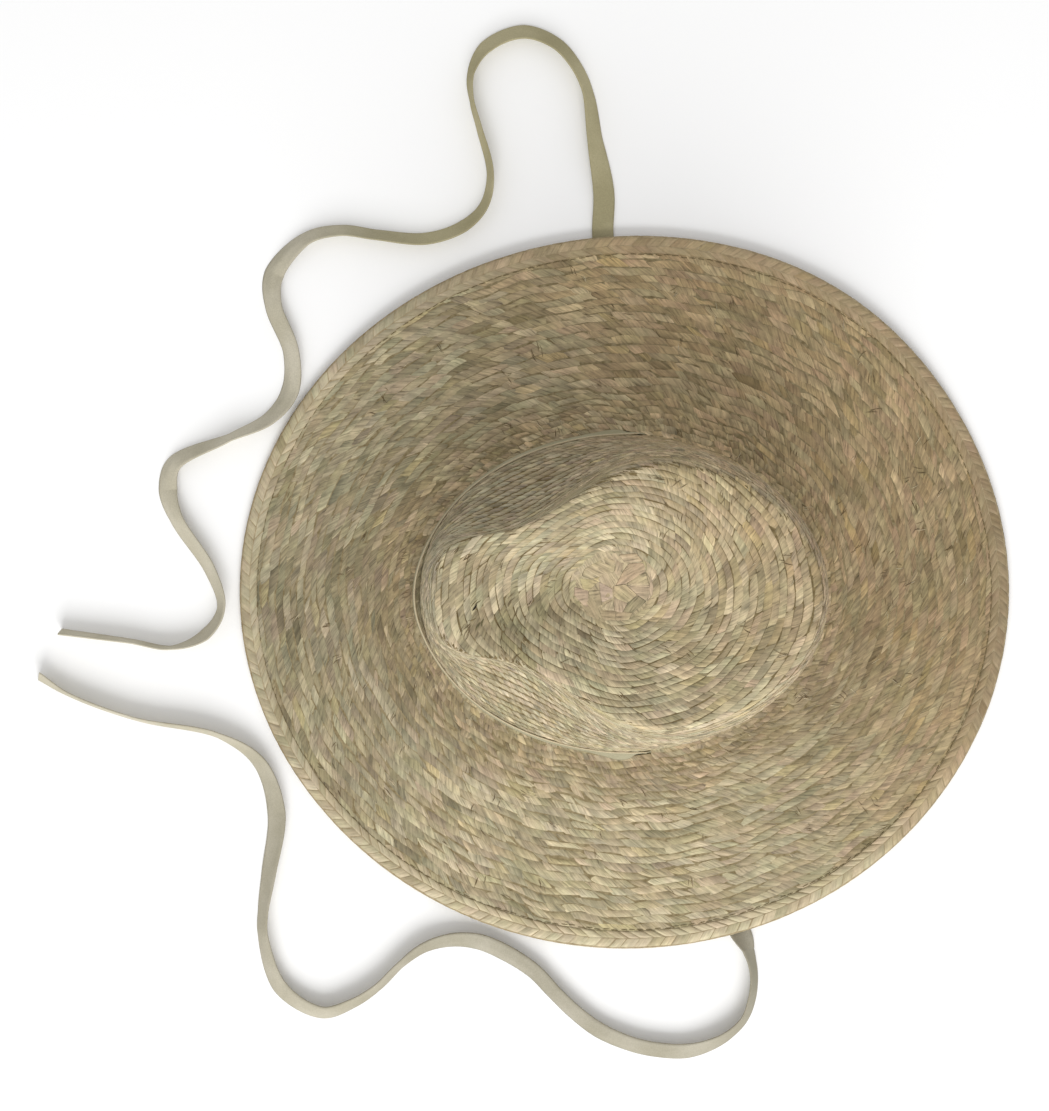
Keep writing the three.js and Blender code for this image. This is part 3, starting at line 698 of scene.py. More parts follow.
class Sheet:
    """A surface laid out evenly by length: u runs once round the hat, v from the inside out."""

    def __init__(self, surface, first, last, rings=200):
        angle = np.linspace(0, 360, SPOKES + 1)
        t = np.linspace(first, last, SHEET_SAMPLES)
        run = running_length(surface(*np.meshgrid(angle, t, indexing="ij")), 1)
        share = np.linspace(0, 1, rings + 1)
        even_t = np.stack([np.interp(share, row / row[-1], t) for row in run])
        girth = running_length(surface(np.broadcast_to(angle[:, None], even_t.shape), even_t), 0)
        u = np.linspace(0, 1, SPOKES + 1)
        place = np.stack([np.interp(u, ring / max(ring[-1], LEAST_GIRTH), angle) for ring in girth.T], 1)
        place_t = np.stack([np.interp(place[:, j], angle, even_t[:, j]) for j in range(rings + 1)], 1)
        points = surface(place, place_t)
        round_about = np.roll(points[:-1], -1, 0) - np.roll(points[:-1], 1, 0)
        round_about = np.concatenate([round_about, round_about[:1]])
        normals = unit(np.cross(np.gradient(points, axis=1), round_about))
        self.both = np.concatenate([points, normals], -1)
        self.length = run[:, -1].mean()
        self.girths = girth[-1]
        self.rings = rings

    def at(self, u, v, height):
        """Points over the surface by a height along its normal."""
        x, y = np.mod(u, 1) * SPOKES, np.clip(v, 0, 1) * self.rings
        i, j = np.minimum(x.astype(int), SPOKES - 1), np.minimum(y.astype(int), self.rings - 1)
        fx, fy = (x - i)[..., None], (y - j)[..., None]
        near = self.both[i, j] * (1 - fx) + self.both[i + 1, j] * fx
        far = self.both[i, j + 1] * (1 - fx) + self.both[i + 1, j + 1] * fx
        mixed = near * (1 - fy) + far * fy
        return mixed[..., :3] + mixed[..., 3:] * np.asarray(height)[..., None]

    def girth(self, v):
        return np.interp(v, np.linspace(0, 1, len(self.girths)), self.girths)


def shell_piece(name, sheet, thickness, inset, material, rings, first=0, spokes=240):
    """The closed body of a sheet, a little under the leaves on both its sides."""
    u, v = np.meshgrid(np.arange(spokes) / spokes, np.linspace(first, 1, rings))
    outer = sheet.at(u, v, np.full(u.shape, -inset))
    inner = sheet.at(u, v, np.full(u.shape, inset - thickness))[::-1]
    rows = np.concatenate([outer, inner])
    rows[..., 2] = np.maximum(rows[..., 2], 0)
    quads = grid_quads(2 * rings, spokes, closed_rows=True, closed_columns=True)
    return add_piece(name, rows.reshape(-1, 3), quads, material)


def rows_of_leaves(sheet, edges, leaf_length, slant, held, draw):
    """Rows between edges. The number of leaves stays the same for a few rows, as it is woven."""
    rows = []
    phase = 0
    for index, (near, far) in enumerate(zip(edges[:-1], edges[1:])):
        if index % held == 0:
            middle = edges[min(index + held // 2, len(edges) - 1)]
            count = max(5, round(sheet.girth(middle) / leaf_length(middle)))
            phase = draw.uniform(0, 1)
        lean = slant(near) * (far - near) * sheet.length / (sheet.girth((near + far) / 2) / count)
        rows.append({"near": near, "far": far, "count": count, "phase": phase, "lean": lean})
        phase += lean
    return rows


def edged_steps(number, lip):
    """Steps from 0 to 1 whose first and last are only a lip wide."""
    return np.concatenate([[0], np.linspace(lip, 1 - lip, number - 1), [1]])


# A cell's rim, how far its dome falls at its ends, how tall it may be, and where its far edge rises
CELL_RIM = 0.999
DOME_FALL = 0.3
TALLNESS = (0.75, 1.3)
EDGE_RISE = (0.55, 0.92)
CELL_TONES = (0.5, 1.4)


def woven_cells(sheet, row, side, sizes, a, b, draw):
    """The points of a row's cells, and how each cell's tone changes over it: painted light and shade, as if
    each cell were tilted, and painted shade towards its long edges.
    """
    count = row["count"]
    size = sheet.girth((row["near"] + row["far"]) / 2) / count
    width = row["far"] - row["near"]
    along, across = 2 * a - 1, 2 * b - 1
    starts = np.arange(count) + row["phase"] + draw.uniform(-1, 1, count) * sizes["jitter"]
    ends = np.roll(starts, -1) + np.where(np.arange(count) == count - 1, count, 0)
    corners = draw.normal(size=(2, 2, 2, count, 1, 1)) * sizes["shift"]
    stray_u, stray_v = (
        (stray[0, 0] * (1 - b) + stray[0, 1] * b) * (1 - a) + (stray[1, 0] * (1 - b) + stray[1, 1] * b) * a
        for stray in corners
    )
    swell = draw.normal(size=(2, count, 1, 1)) * sizes["shift"] * np.sin(math.pi * a)
    stray_v = stray_v + swell[0] * (1 - b) + swell[1] * b
    gap = sizes["end_gap"] / size
    narrow = 1 - sizes["taper"] * np.abs(along) ** 3 - 2 * sizes["gap"] / width / sheet.length
    s = starts[:, None, None] + gap + (ends - starts - 2 * gap)[:, None, None] * a + 2 * stray_u / size
    u = (s + row["lean"] * (b + sizes["bow"] * np.sin(math.pi * b) * along)) / count
    v = row["near"] + width * (0.5 + across / 2 * narrow) + stray_v / sheet.length
    v = v + sizes["wobble"] / sheet.length * ripple(sheet.at(u, v, np.zeros(v.shape)), *WOBBLES)
    relief = sizes["calm"] + (1 - sizes["calm"]) * smooth(row["near"], CREST, BELOW_CREST) ** 3
    rim = np.maximum(np.abs(along), np.abs(across)) > CELL_RIM
    dome = np.where(rim, 0, (1 - DOME_FALL * np.abs(along) ** 3) * (1 - sizes["round"] * across**2))
    tall = sizes["top"] * draw.uniform(*TALLNESS, (count, 1, 1)) + sizes["tuck"]
    tilt = draw.normal(size=(3, count, 1, 1)) * sizes["tilt"]
    slope = tilt[0] * along + tilt[1] * across + tilt[2] * along * across
    edge = sizes["edge_lift"] * smooth(b, *EDGE_RISE) + sizes["step"] * along / 2
    height = relief * ((tall + slope + edge) * dome - sizes["tuck"])
    if side < 0:
        height = -sizes["thickness"] - height
    # Painted light and shade: a random gradient over each cell, and shade in the creases at its long edges
    shades = draw.normal(size=(2, count, 1, 1)) * sizes["shades"]
    tone = (1 + shades[0] * along + shades[1] * across) * (1 - sizes["crease"] * relief * across**4)
    return sheet.at(u, v, height), np.clip(tone, *CELL_TONES), size


def open_slits(points, quads):
    """Leaves out the faces in the ribbon's way into a slit."""
    for slit in SLITS.values():
        angle, middle = slit_place(slit)
        out = outwards(angle)
        away = points[quads].mean(1)[:, :2] - middle
        along = away @ (-out[1], out[0]) * slit["side"]
        third = SLIT["along"] / 3
        in_way = (np.abs(away @ out) < slit["lips"]) & (np.abs(along + third) < third)
        quads = quads[~in_way]
    return quads


def leaves_piece(name, sheet, rows, side, sizes, material, seed):
    """Domed leaf cells over one side of a sheet. Their edges tuck into the shell."""
    draw = np.random.default_rng(seed)
    along_steps, across_steps = sizes["steps"]
    a = edged_steps(along_steps, sizes["lip"])[None, None, :]
    b = edged_steps(across_steps, 2 * sizes["lip"])[None, :, None]
    vertices = (along_steps + 1) * (across_steps + 1)
    points, leaf, cell, colours = [], [], [], []
    for row in rows:
        cells, tone, size = woven_cells(sheet, row, side, sizes, a, b, draw)
        count = row["count"]
        shift = draw.uniform(0, 60, (count, 1, 1))
        width = (row["far"] - row["near"]) * sheet.length
        points.append(cells.reshape(-1, 3))
        maps = (shift + a * size / MAP_UNIT, shift + b * width / MAP_UNIT), (a, b)
        for layer, uvs in zip((leaf, cell), maps):
            layer.append(np.stack(np.broadcast_arrays(*uvs, tone)[:2], -1).reshape(-1, 2))
        tones = leaf_colours(cells.reshape(count, -1, 3).mean(1), draw, sizes)
        colours.append((tones[:, None, None, :] * tone[..., None]).reshape(-1, 3))
    points = np.concatenate(points)
    points[:, 2] = np.maximum(points[:, 2], 0)
    cell_quads = grid_quads(across_steps + 1, along_steps + 1)
    quads = open_slits(points, repeated(cell_quads, len(points) // vertices, vertices))
    if side < 0:
        quads = quads[:, ::-1]
    maps = {"leaf": np.concatenate(leaf), "cell": np.concatenate(cell)}
    return add_piece(name, points, quads, material, maps, np.concatenate(colours))


MAP_UNIT = 0.01
# Shares of the crown's sheet, from the knot down: its crest, and where its wall is steep all round
CREST = 0.43
BELOW_CREST = 0.55
# shades, crease and far_side set how strongly cells are painted with light and shade across them, with shade
# along their long edges, and with shade on the side away from the softbox
WOVEN = {
    "steps": (6, 4), "lip": 0.03, "round": 0.25, "jitter": 0.2, "gap": 0.00004, "shift": 0.0002,
    "taper": 0.08, "bow": 0.12, "wobble": 0.0006, "top": 0.00022, "tuck": 0.0003, "tilt": 0.0001,
    "edge_lift": 0.00006, "step": 0.00022, "end_gap": 0.0001, "contrast": 0.06, "bright": 1,
    "thickness": WALL, "shades": 0.09, "crease": 0.12, "evenness": 0.3, "calm": 1, "far_side": 0,
}
TOP_WOVEN = {
    **WOVEN, "lip": 0.02, "round": 0.1, "top": 0.00004, "tuck": 0.00006, "tilt": 0.00003, "step": 0.00004,
    "end_gap": 0.00001, "edge_lift": 0.00002, "taper": 0.04, "gap": 0.00001, "crease": 0, "contrast": 0.11,
    "shades": 0.07, "bright": 1.02,
}
WALL_WOVEN = {
    **WOVEN, "steps": (4, 4), "lip": 0.08, "round": 0.7, "top": 0.0006, "tuck": 0.0004, "tilt": 0.0002,
    "contrast": 0.1, "crease": 0.7, "bright": (1.06, 1.06, 1.1), "calm": 0.16,
}
BRIM_WOVEN = {
    **WOVEN, "jitter": 0.4, "taper": 0.05, "gap": 0, "top": 0.00007, "tuck": 0.00009, "shift": 0.0004,
    "tilt": 0.00006, "step": 0.00006, "edge_lift": 0.00002, "end_gap": 0.00002, "contrast": 0.105,
    "crease": 0.04, "wobble": 0.0009,
}
UNSEEN_SIDE = {**WOVEN, "steps": (3, 3), "lip": 0.06}
# Rows of leaves: their width and length where a sheet starts, and how much both change over it
CROWN_ROWS = {"width": 0.0034, "wider": 0.0022, "length": 0.0075, "longer": 0.003, "shorter": 0.0062}
BRIM_ROWS = {"width": 0.0032, "wider": 0.0008, "length": 0.0038, "longer": 0.0068}
CROWN_SLANT = 0.9
BRIM_SLANT = {"first": 0.6, "more": 0.65}
SHELL_INSET = 0.00005
BRIM_SHELL_INSET = 0.00006
EDGE_SHELL_INSET = 0.0001
KNOT_GAP = -0.0002
KNOT_LIFT = 0.0002
KNOT_TILT = 0.006
KNOT_UNDER = -0.00003
KNOT_TONE = 0.9
KNOT_EVENNESS = 0.4
KNOT_RINGS = (1, 0.97, 0.92, 0.45, 0)
# How dark each knot leaf's rings are, from its edge inwards: painted shade along the rims where the leaves
# overlap
KNOT_LINES = (0.3, 0.4, 1, 1, 1)


def row_edges(first, last, length, width):
    """Edges of rows from first to last, whose width changes with the place between them."""
    edges = [first]
    while edges[-1] < last:
        edges.append(edges[-1] + width(edges[-1]) / length)
    edges = np.array(edges)
    return first + (edges - first) * (last - first) / (edges[-1] - first)


def add_knot():
    """Flat leaves that overlap in the middle of the crown's top."""
    draw = np.random.default_rng(61)
    share = np.array(KNOT_RINGS)[:, None, None]
    rings, around = len(KNOT_RINGS), 32
    points, uvs, colours, quads = [], [], [], []
    for index, (colour, fibres, corners) in enumerate([KNOT_BASE, *KNOT_LEAVES]):
        corners = np.array(corners) * 0.001
        middle = corners.mean(0)
        run = running_length(np.concatenate([corners, corners[:1]]), 0)
        edge = np.stack([
            np.interp(np.linspace(0, run[-1], around, endpoint=False), run, np.append(column, column[0]))
            for column in corners.T
        ], -1)
        first_lift = draw.uniform(0.5, 1.5) * KNOT_LIFT
        inset = 1 - KNOT_GAP / length_of(edge - middle)[:, None]
        plan = middle + (edge - middle) * share * inset
        tilt = (plan - middle) @ draw.normal(size=2) * KNOT_TILT
        lift = np.maximum(first_lift + tilt, 0) * (1 - share[..., 0] ** 30) * min(index, 1)
        place = plan + KNOT
        points.append(raised(place, crown_top_height(place) + KNOT_UNDER + lift).reshape(-1, 3))
        turn = math.radians(fibres)
        along = plan @ np.array([math.cos(turn), math.sin(turn)])
        aside = (plan - middle) @ np.array([-math.sin(turn), math.cos(turn)])
        uvs.append(np.stack([aside / MAP_UNIT + index * 7, along / MAP_UNIT], -1).reshape(-1, 2))
        tone = srgb(*colour) + (srgb(*KNOT_BASE[0]) - srgb(*colour)) * KNOT_EVENNESS
        lines = np.repeat(KNOT_LINES, around)[:, None] if index else np.ones((rings * around, 1))
        colours.append(tone * KNOT_TONE * lines)
        quads.append(grid_quads(rings, around, closed_columns=True)[:, ::-1] + index * rings * around)
    points, quads, uvs, colours = (np.concatenate(part) for part in (points, quads, uvs, colours))
    maps = {"leaf": uvs, "cell": np.full(uvs.shape, 0.5)}
    add_piece("crown_knot", points, quads, LEAF, maps, colours)


def add_crown():
    sheet = Sheet(crown_surface, 2, 0)
    draw = np.random.default_rng(11)
    shell_piece("crown_shell_painted_shade", sheet, WALL, SHELL_INSET, CROWN_GAP_SHADE, 100, first=0.003)
    size = CROWN_ROWS
    width = lambda v: size["width"] + size["wider"] * smooth(v, CREST, BELOW_CREST)
    edges = row_edges(KNOT_REACH / sheet.length, 1, sheet.length, width)
    top_length = lambda v: size["length"] + size["longer"] * smooth(v, 0.1, 0.25)
    length = lambda v: top_length(v) - size["shorter"] * smooth(v, CREST - 0.03, CREST + 0.1)
    rows = rows_of_leaves(sheet, edges, length, lambda v: CROWN_SLANT, 3, draw)
    top_rows = [row for row in rows if row["near"] < CREST]
    wall_rows = [row for row in rows if row["near"] >= CREST]
    leaves_piece("crown_top_leaves", sheet, top_rows, 1, TOP_WOVEN, LEAF, 21)
    outside = leaves_piece("crown_leaves", sheet, wall_rows, 1, WALL_WOVEN, LEAF, 22)
    leaves_piece("crown_leaves_inside", sheet, rows, -1, UNSEEN_SIDE, LEAF, 23)
    add_knot()
    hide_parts("crown")
    return sheet


def slit_place(slit):
    """The angle and the middle of a slit in plan."""
    angle = slit["at"] + slit["side"] * SLIT["past"]
    return angle, foot_outline(angle) + outwards(angle) * SLIT["out"]


def cut_slit(shell, slit):
    """Cuts a slit through the brim's shell with a box."""
    angle, middle = slit_place(slit)
    out = outwards(angle)
    bpy.ops.mesh.primitive_cube_add(size=1)
    cutter = bpy.context.active_object
    cutter.scale = (SLIT["across"], SLIT["along"], SLIT["deep"])
    cutter.rotation_euler = (0, 0, math.atan2(out[1], out[0]))
    cutter.location = (*middle, BRIM_FOOT)
    cut = shell.modifiers.new("slit", "BOOLEAN")
    cut.object = cutter
    cut.operation = "DIFFERENCE"
    bpy.context.view_layer.objects.active = shell
    bpy.ops.object.modifier_apply(modifier=cut.name)
    bpy.data.objects.remove(cutter)


def add_brim():
    sheet = Sheet(brim_surface, 0, 2)
    draw = np.random.default_rng(12)
    shell = shell_piece("brim_shell_painted_shade", sheet, WALL, BRIM_SHELL_INSET, BRIM_GAP_SHADE, 80)
    last = 1 - (PLAIT_WIDTH - PLAIT_LEG - GAP - UNDER_PLAIT) / sheet.length
    size = BRIM_ROWS
    width = lambda v: size["width"] + size["wider"] * smooth(v, 0.1, 0.35)
    length = lambda v: size["length"] + size["longer"] * smooth(v, 0, 0.35)
    slant = lambda v: BRIM_SLANT["first"] + BRIM_SLANT["more"] * smooth(v, 0, 0.25)
    rows = rows_of_leaves(sheet, row_edges(0, last, sheet.length, width), length, slant, 5, draw)
    top = leaves_piece("brim_leaves", sheet, rows, 1, BRIM_WOVEN, BRIM_LEAF, 31)
    leaves_piece("brim_leaves_under", sheet, rows, -1, UNSEEN_SIDE, LEAF, 32)
    for slit in SLITS.values():
        cut_slit(shell, slit)
    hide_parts("brim")
    return sheet


# Edge plait: s runs inwards from the outermost point, n up from the brim's upper surface
UNDER = -WALL - GAP
UNDER_PLAIT = 0.0015
PLAIT_SECTION = np.array([
    (PLAIT_WIDTH, GAP),
    (PLAIT_WIDTH - 0.0018, GAP + 0.0006),
    (PLAIT_WIDTH / 2, GAP + PLAIT_LEG),
    (PLAIT_LEG, GAP + PLAIT_LEG),
    (0.0003, GAP + 0.0007),
    (0, GAP),
    (0, UNDER),
    (0.0003, UNDER - 0.0007),
    (PLAIT_LEG, UNDER - PLAIT_LEG),
    (PLAIT_WIDTH, UNDER - PLAIT_LEG),
])
PLAITED = {
    **WOVEN, "steps": (5, 5), "jitter": 0.1, "shift": 0.00012, "taper": 0.04, "bow": 0, "wobble": 0.0001,
    "top": 0.00008, "tuck": 0.00014, "tilt": 0.00003, "edge_lift": 0, "step": 0.00004, "contrast": 0.025,
    "bright": (1.35, 1.37, 1.46), "shades": 0.04, "crease": 0, "evenness": 0.65, "far_side": 0.31,
}
PLAIT_PERIOD = 0.0067
PLAIT_EDGES = (0, 0.18, 0.48, 0.8, 1)
PLAIT_LEAN = 0.8


def plait_surface(angle, t):
    run = running_length(PLAIT_SECTION, 0)
    s, n = (np.interp(t, run / run[-1], column) for column in PLAIT_SECTION.T)
    distance = brim_width(angle) - s
    turn, step = 0.5, 0.0005
    around = brim_at(angle + turn, distance) - brim_at(angle - turn, distance)
    point = brim_at(angle, distance)
    normal = unit(np.cross(point - brim_at(angle, distance - step), around))
    point += normal * n[..., None]
    point[..., 2] = np.maximum(point[..., 2], 0)
    return point


def add_plait():
    sheet = Sheet(plait_surface, 0, 1, rings=120)
    shell_piece("edge_straw", sheet, PLAIT_LEG, EDGE_SHELL_INSET, EDGE_GAP_SHADE, 30, spokes=360)
    count = round(sheet.girth(0.5) / PLAIT_PERIOD)
    rows = []
    for index, (near, far) in enumerate(zip(PLAIT_EDGES[:-1], PLAIT_EDGES[1:])):
        lean, phase = (PLAIT_LEAN, 0) if index % 2 == 0 else (-PLAIT_LEAN, PLAIT_LEAN)
        rows.append({"near": near, "far": far, "count": count, "phase": phase, "lean": lean})
    plait = leaves_piece("edge_plait_leaves", sheet, rows, 1, PLAITED, EDGE_LEAF, 41)
    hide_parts("brim_edge_plait")


# Thin strands
def strands(middles, side, up, thick, sides):
    """Points and faces of strands, each with rings of so many sides round its row of middles."""
    turn = np.linspace(0, 2 * math.pi, sides, endpoint=False)[:, None]
    around = side[:, :, None] * np.cos(turn) + up[:, :, None] * np.sin(turn)
    points = (middles[:, :, None] + around * thick[..., None, None]).reshape(-1, 3)
    points[:, 2] = np.maximum(points[:, 2], 0)
    number, steps = middles.shape[:2]
    return points, repeated(grid_quads(steps, sides, closed_columns=True), number, steps * sides)


# Stitches just inside the plait
STITCH = {
    "every": 0.0044, "length": 0.0042, "radius": 0.00018, "in": 0.0093, "rise": 0.0003, "dip": 0.0002,
    "jitter": 0.0003, "stray": 0.0002, "steps": 7, "sides": 6,
}


def add_stitches(brim):
    draw = np.random.default_rng(51)
    v = 1 - (STITCH["in"] - PLAIT_LEG - GAP) / brim.length
    girth = brim.girth(v)
    count = round(girth / STITCH["every"])
    share = np.linspace(0, 1, STITCH["steps"])
    starts = np.arange(count)[:, None] / count + draw.normal(size=(count, 1)) * STITCH["jitter"] / girth
    stray = draw.normal(size=(count, 1)) + (share - 0.5) * draw.normal(size=(count, 1))
    place = v + stray * STITCH["stray"] / brim.length
    rise = STITCH["rise"] - (STITCH["rise"] + STITCH["dip"]) * np.abs(2 * share - 1) ** 2.5
    middles = brim.at(starts + share * STITCH["length"] / girth, place, rise)
    travel = unit(np.gradient(middles, axis=1))
    side = unit(np.cross(travel, [0, 0, 1]))
    thick = STITCH["radius"] * (0.35 + 0.65 * np.sin(math.pi * share) ** 0.4)
    points, quads = strands(middles, side, np.cross(side, travel), thick, STITCH["sides"])
    add_piece("edge_stitches", points, quads, THREAD)


# Broken fibres that lie on the leaves in small tufts
SLIVER = {
    "steps": 6, "sides": 4, "length": (0.0026, 0.0065), "half_width": (0.0001, 0.00022), "lift": 0.00022,
    "in_tuft": 3, "stray_u": 0.0018, "stray_v": 0.0016, "slant": 0.9, "bend": 0.25,
}
# Where leaves on the crown's top are broken: x, y, turn, length, half width and tone
BROKEN = [
    # The first, nearly black, is a hole in the leaves, painted as the shade inside it
    (0.0054, -0.0752, 0.8, 0.0038, 0.0005, (34, 26, 16)),
    (0.0142, -0.0735, 0.9, 0.005, 0.0005, (118, 112, 80)),
    (0.0125, -0.0715, 0.7, 0.004, 0.0004, (112, 106, 74)),
]
SLIVER_TONES = [((108, 90, 60), 4), ((126, 108, 76), 4), ((204, 190, 160), 3)]


def nearest(sheet, x, y, last):
    """The place of a sheet, before its last, that lies nearest to a point in plan."""
    away = length_of(sheet.both[:, :int(last * sheet.rings), :2] - (x, y))
    i, j = np.unravel_index(np.argmin(away), away.shape)
    return i / SPOKES, j / sheet.rings


def add_slivers(name, sheet, tufts, first, last, seed, marks=()):
    """Tufts of slivers between two places of a sheet. marks adds single ones."""
    draw = np.random.default_rng(seed)
    tried = draw.uniform((0, first, 0), (1, last, sheet.girth(last)), (4 * tufts, 3))
    tried = tried[tried[:, 2] < sheet.girth(tried[:, 1])][:tufts]
    tuft_u, tuft_v = np.repeat(tried[:, :2], SLIVER["in_tuft"], 0).T
    number = len(tuft_u)
    u = tuft_u + draw.normal(size=number) * SLIVER["stray_u"] / sheet.girth(tuft_v)
    v = tuft_v + draw.normal(size=number) * SLIVER["stray_v"] / sheet.length
    tuft_turn = np.repeat(draw.normal(size=len(tried)), SLIVER["in_tuft"])
    turn = SLIVER["slant"] + 0.5 * tuft_turn + 0.2 * draw.normal(size=number)
    sizes = [draw.uniform(*SLIVER[key], number) for key in ("length", "half_width")]
    marked = [(*nearest(sheet, *mark[:2], last), *mark[2:5]) for mark in marks]
    columns = np.concatenate([np.stack([u, v, turn, *sizes], -1), np.reshape(marked, (-1, 5))])
    u, v, turn, length, half_width = columns.T[..., None]
    tones = [*picked(SLIVER_TONES, number, draw), *(srgb(*mark[5]) for mark in marks)]
    share = np.linspace(-0.5, 0.5, SLIVER["steps"])
    run = share * length
    bend = draw.normal(size=u.shape) * SLIVER["bend"] * share**2 * length
    place_u = u + (run * np.cos(turn) - bend * np.sin(turn)) / sheet.girth(v)
    place_v = v + (run * np.sin(turn) + bend * np.cos(turn)) / sheet.length
    lift = SLIVER["lift"] * (1 - 2 * share**2)
    middles = sheet.at(place_u, place_v, lift)
    up = unit(sheet.at(place_u, place_v, lift + MAP_UNIT) - middles)
    side = unit(np.cross(up, np.gradient(middles, axis=1)))
    thick = half_width * (1 - 0.9 * (2 * share) ** 2)
    points, quads = strands(middles, side, up / 2, thick, SLIVER["sides"])
    maps = {"leaf": points[:, :2] / MAP_UNIT, "cell": np.full((len(points), 2), 0.5)}
    colours = np.repeat(tones, len(points) // len(tones), 0)
    add_piece(name, points, quads, LEAF, maps, colours)


# Ribbons
def ribbon_piece(name, middles, across, travel, widths, folds):
    """A ribbed strip through stations. folds raises its middle into a lengthwise ridge."""
    columns = np.linspace(-1, 1, 9)
    through = np.cross(travel, across)
    half = np.asarray(widths)[:, None, None] / 2
    sheet = middles[:, None, :] + across[:, None, :] * columns[None, :, None] * half
    ridge = np.asarray(folds)[:, None] * (0.5 - np.abs(columns))[None, :]
    sheet = sheet + through[:, None, :] * ridge[..., None]
    ribs = RIBBON_THICKNESS + RIB * (np.arange(len(middles)) % 2 - 0.5)
    lift = through[:, None, :] * ribs[:, None, None] / 2
    rings = np.concatenate([sheet + lift, (sheet - lift)[:, ::-1]], 1)
    rings[..., 2] = np.maximum(rings[..., 2], SURFACE_CLEARANCE / 2)
    caps = np.stack([np.broadcast_to(rings[end].mean(0), rings[end].shape) for end in (0, -1)])
    rings = np.concatenate([caps[:1], rings, caps[1:]])
    quads = grid_quads(len(rings), rings.shape[1], closed_columns=True)
    return add_piece(name, rings.reshape(-1, 3), quads, RIBBON)


def add_crown_ribbon():
    left, right = SLITS["left"], SLITS["right"]
    end = RIBBON_END_ROWS[0, 0]
    angle = np.arange(right["at"] + end, left["at"] - end, RIBBON_STEP)
    on_left = angle > 0
    before = np.where(on_left, left["at"] - angle, angle - right["at"])
    flare = np.where(on_left, left["flare"], right["flare"])
    top, foot, up, dive, width = (
        np.mean([np.interp(before + ease, RIBBON_END_ROWS[:, 0], column) for ease in RIBBON_EASING], 0)
        for column in RIBBON_END_ROWS.T[1:]
    )
    out = outwards(angle)
    onwards = np.stack([-out[:, 1], out[:, 0]], -1) * np.where(on_left, 1, -1)[:, None]
    slack = FRONT_SLACK["out"] * bell_round(angle, FRONT_SLACK["at"], FRONT_SLACK["spread"])
    lacking = np.where(before < 0, 0, (1 - flare) * (foot - RIBBON_FOOT))
    height = up + lacking * SWING_RISE
    dive = np.radians(dive)
    upper = top - wall_inset(angle, height + width / 2 * np.cos(dive)) + slack
    lower = foot - lacking + slack
    middles = raised(foot_outline(angle) + out * ((upper + lower) / 2)[:, None], height)
    lean = np.arcsin((lower - upper) / width)
    level = onwards * np.sin(dive)[:, None] - out * np.sin(lean)[:, None]
    travel = unit(np.gradient(middles, axis=0))
    across = raised(level, np.cos(lean) * np.cos(dive))
    across = unit(across - travel * (across * travel).sum(-1, keepdims=True))
    ribbon = ribbon_piece("crown_ribbon_cloth", middles, across, travel, width, np.zeros(len(angle)))
    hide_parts("crown_ribbon")


def tie_stations(rows):
    """Even stations along a tie's route: middles, directions of travel and rolls in radians."""
    lying = lambda roll: (RIBBON_WIDTH * np.abs(np.sin(roll)) + RIBBON_THICKNESS * np.cos(roll)) / 2
    rolls = np.radians([row[2] for row in rows])
    hanging = np.array([len(row) == 4 for row in rows])
    rest = SURFACE_CLEARANCE + lying(rolls)
    heights = [row[3] if len(row) == 4 else low for row, low in zip(rows, rest)]
    points = raised(np.array([row[:2] for row in rows]), heights)
    fine = np.linspace(0, 1, TIE_SAMPLES)
    run = running_length(catmull_rom(points, fine), 0)
    t = np.interp(np.linspace(0, run[-1], int(run[-1] / TIE_STEP)), run, fine)
    middles = catmull_rom(points, t)
    place = t * (len(rows) - 1)
    roll = np.interp(place, np.arange(len(rows)), rolls)
    lies = ~hanging[np.minimum(place.astype(int), len(rows) - 2)]
    middles[lies, 2] = SURFACE_CLEARANCE + lying(roll[lies])
    travel = unit(np.gradient(middles, axis=0))
    return middles, travel, roll, run[-1]


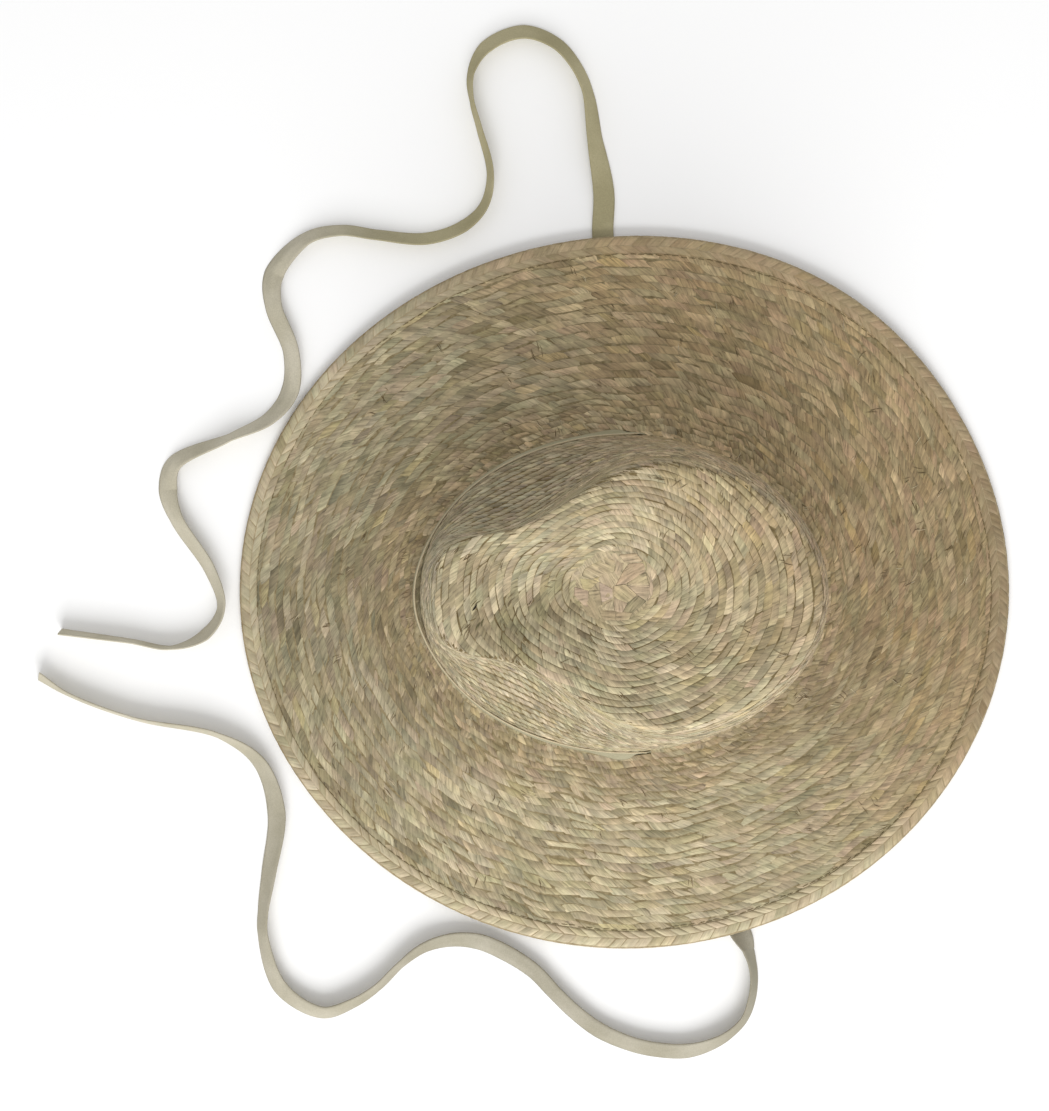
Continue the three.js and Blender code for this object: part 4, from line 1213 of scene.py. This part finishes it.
def add_tie(name, rows, folds, replaced):
    middles, travel, roll, length = tie_stations(rows)
    left = unit(np.cross([0, 0, 1], travel))
    across = left * np.cos(roll)[:, None] + np.cross(travel, left) * np.sin(roll)[:, None]
    ridge = sum(
        height * bell(length_of(middles[:, :2] - (x, y)), 0, reach)
        for x, y, reach, height in folds
    )
    tie = ribbon_piece(name, middles, across, travel, np.full(len(middles), RIBBON_WIDTH), ridge)
    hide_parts(replaced)
    round(length, 3)


# Camera, floor and light
def add_camera():
    camera = bpy.data.cameras.new("camera")
    camera.sensor_fit = "VERTICAL"
    camera.sensor_height = SENSOR
    camera.lens = SENSOR * CAMERA_PLACE[2] / VIEW_HEIGHT
    camera_object = add_object("camera", camera)
    camera_object.location = CAMERA_PLACE
    camera_object.rotation_euler = (0, 0, math.pi / 2)
    bpy.context.scene.camera = camera_object


def add_floor():
    corners = FLOOR_HALF * np.array([(-1, -1), (1, -1), (1, 1), (-1, 1)])
    mesh = bpy.data.meshes.new("floor")
    mesh.from_pydata(raised(corners, -FLOOR_DROP).tolist(), [], [(0, 1, 2, 3)])
    material, _, shader = node_material("pale_floor", 0.9, 0)
    shader.inputs["Base Color"].default_value = (0.995, 0.995, 0.995, 1)
    mesh.materials.append(material)
    floor = add_object("floor", mesh)


def add_light():
    world = bpy.data.worlds.new("studio")
    bpy.context.scene.world = world
    world.use_nodes = True
    background = world.node_tree.nodes["Background"]
    background.inputs["Color"].default_value = (1, 1, 1, 1)
    background.inputs["Strength"].default_value = WORLD_LIGHT
    light = bpy.data.lights.new("softbox", "AREA")
    light.size = SOFTBOX["size"]
    light.energy = SOFTBOX["energy"]
    softbox = add_object("softbox", light)
    softbox.location = SOFTBOX["place"]
    aim = Vector(SOFTBOX["aim"]) - Vector(SOFTBOX["place"])
    softbox.rotation_euler = aim.to_track_quat("-Z", "Y").to_euler()


add_camera()
add_floor()
add_light()
crown_sheet = add_crown()
brim_sheet = add_brim()
add_plait()
add_stitches(brim_sheet)
add_slivers("crown_slivers", crown_sheet, 60, 0.12, 0.46, 71, BROKEN)
add_slivers("brim_slivers", brim_sheet, 130, 0.06, 0.9, 72)
add_crown_ribbon()
add_tie("tie_left_ribbon", TIE_LEFT_ROWS, TIE_LEFT_FOLDS, "tie_left")
add_tie("tie_right_ribbon", TIE_RIGHT_ROWS, TIE_RIGHT_FOLDS, "tie_right")

bpy.context.scene.view_settings.view_transform = "Standard"
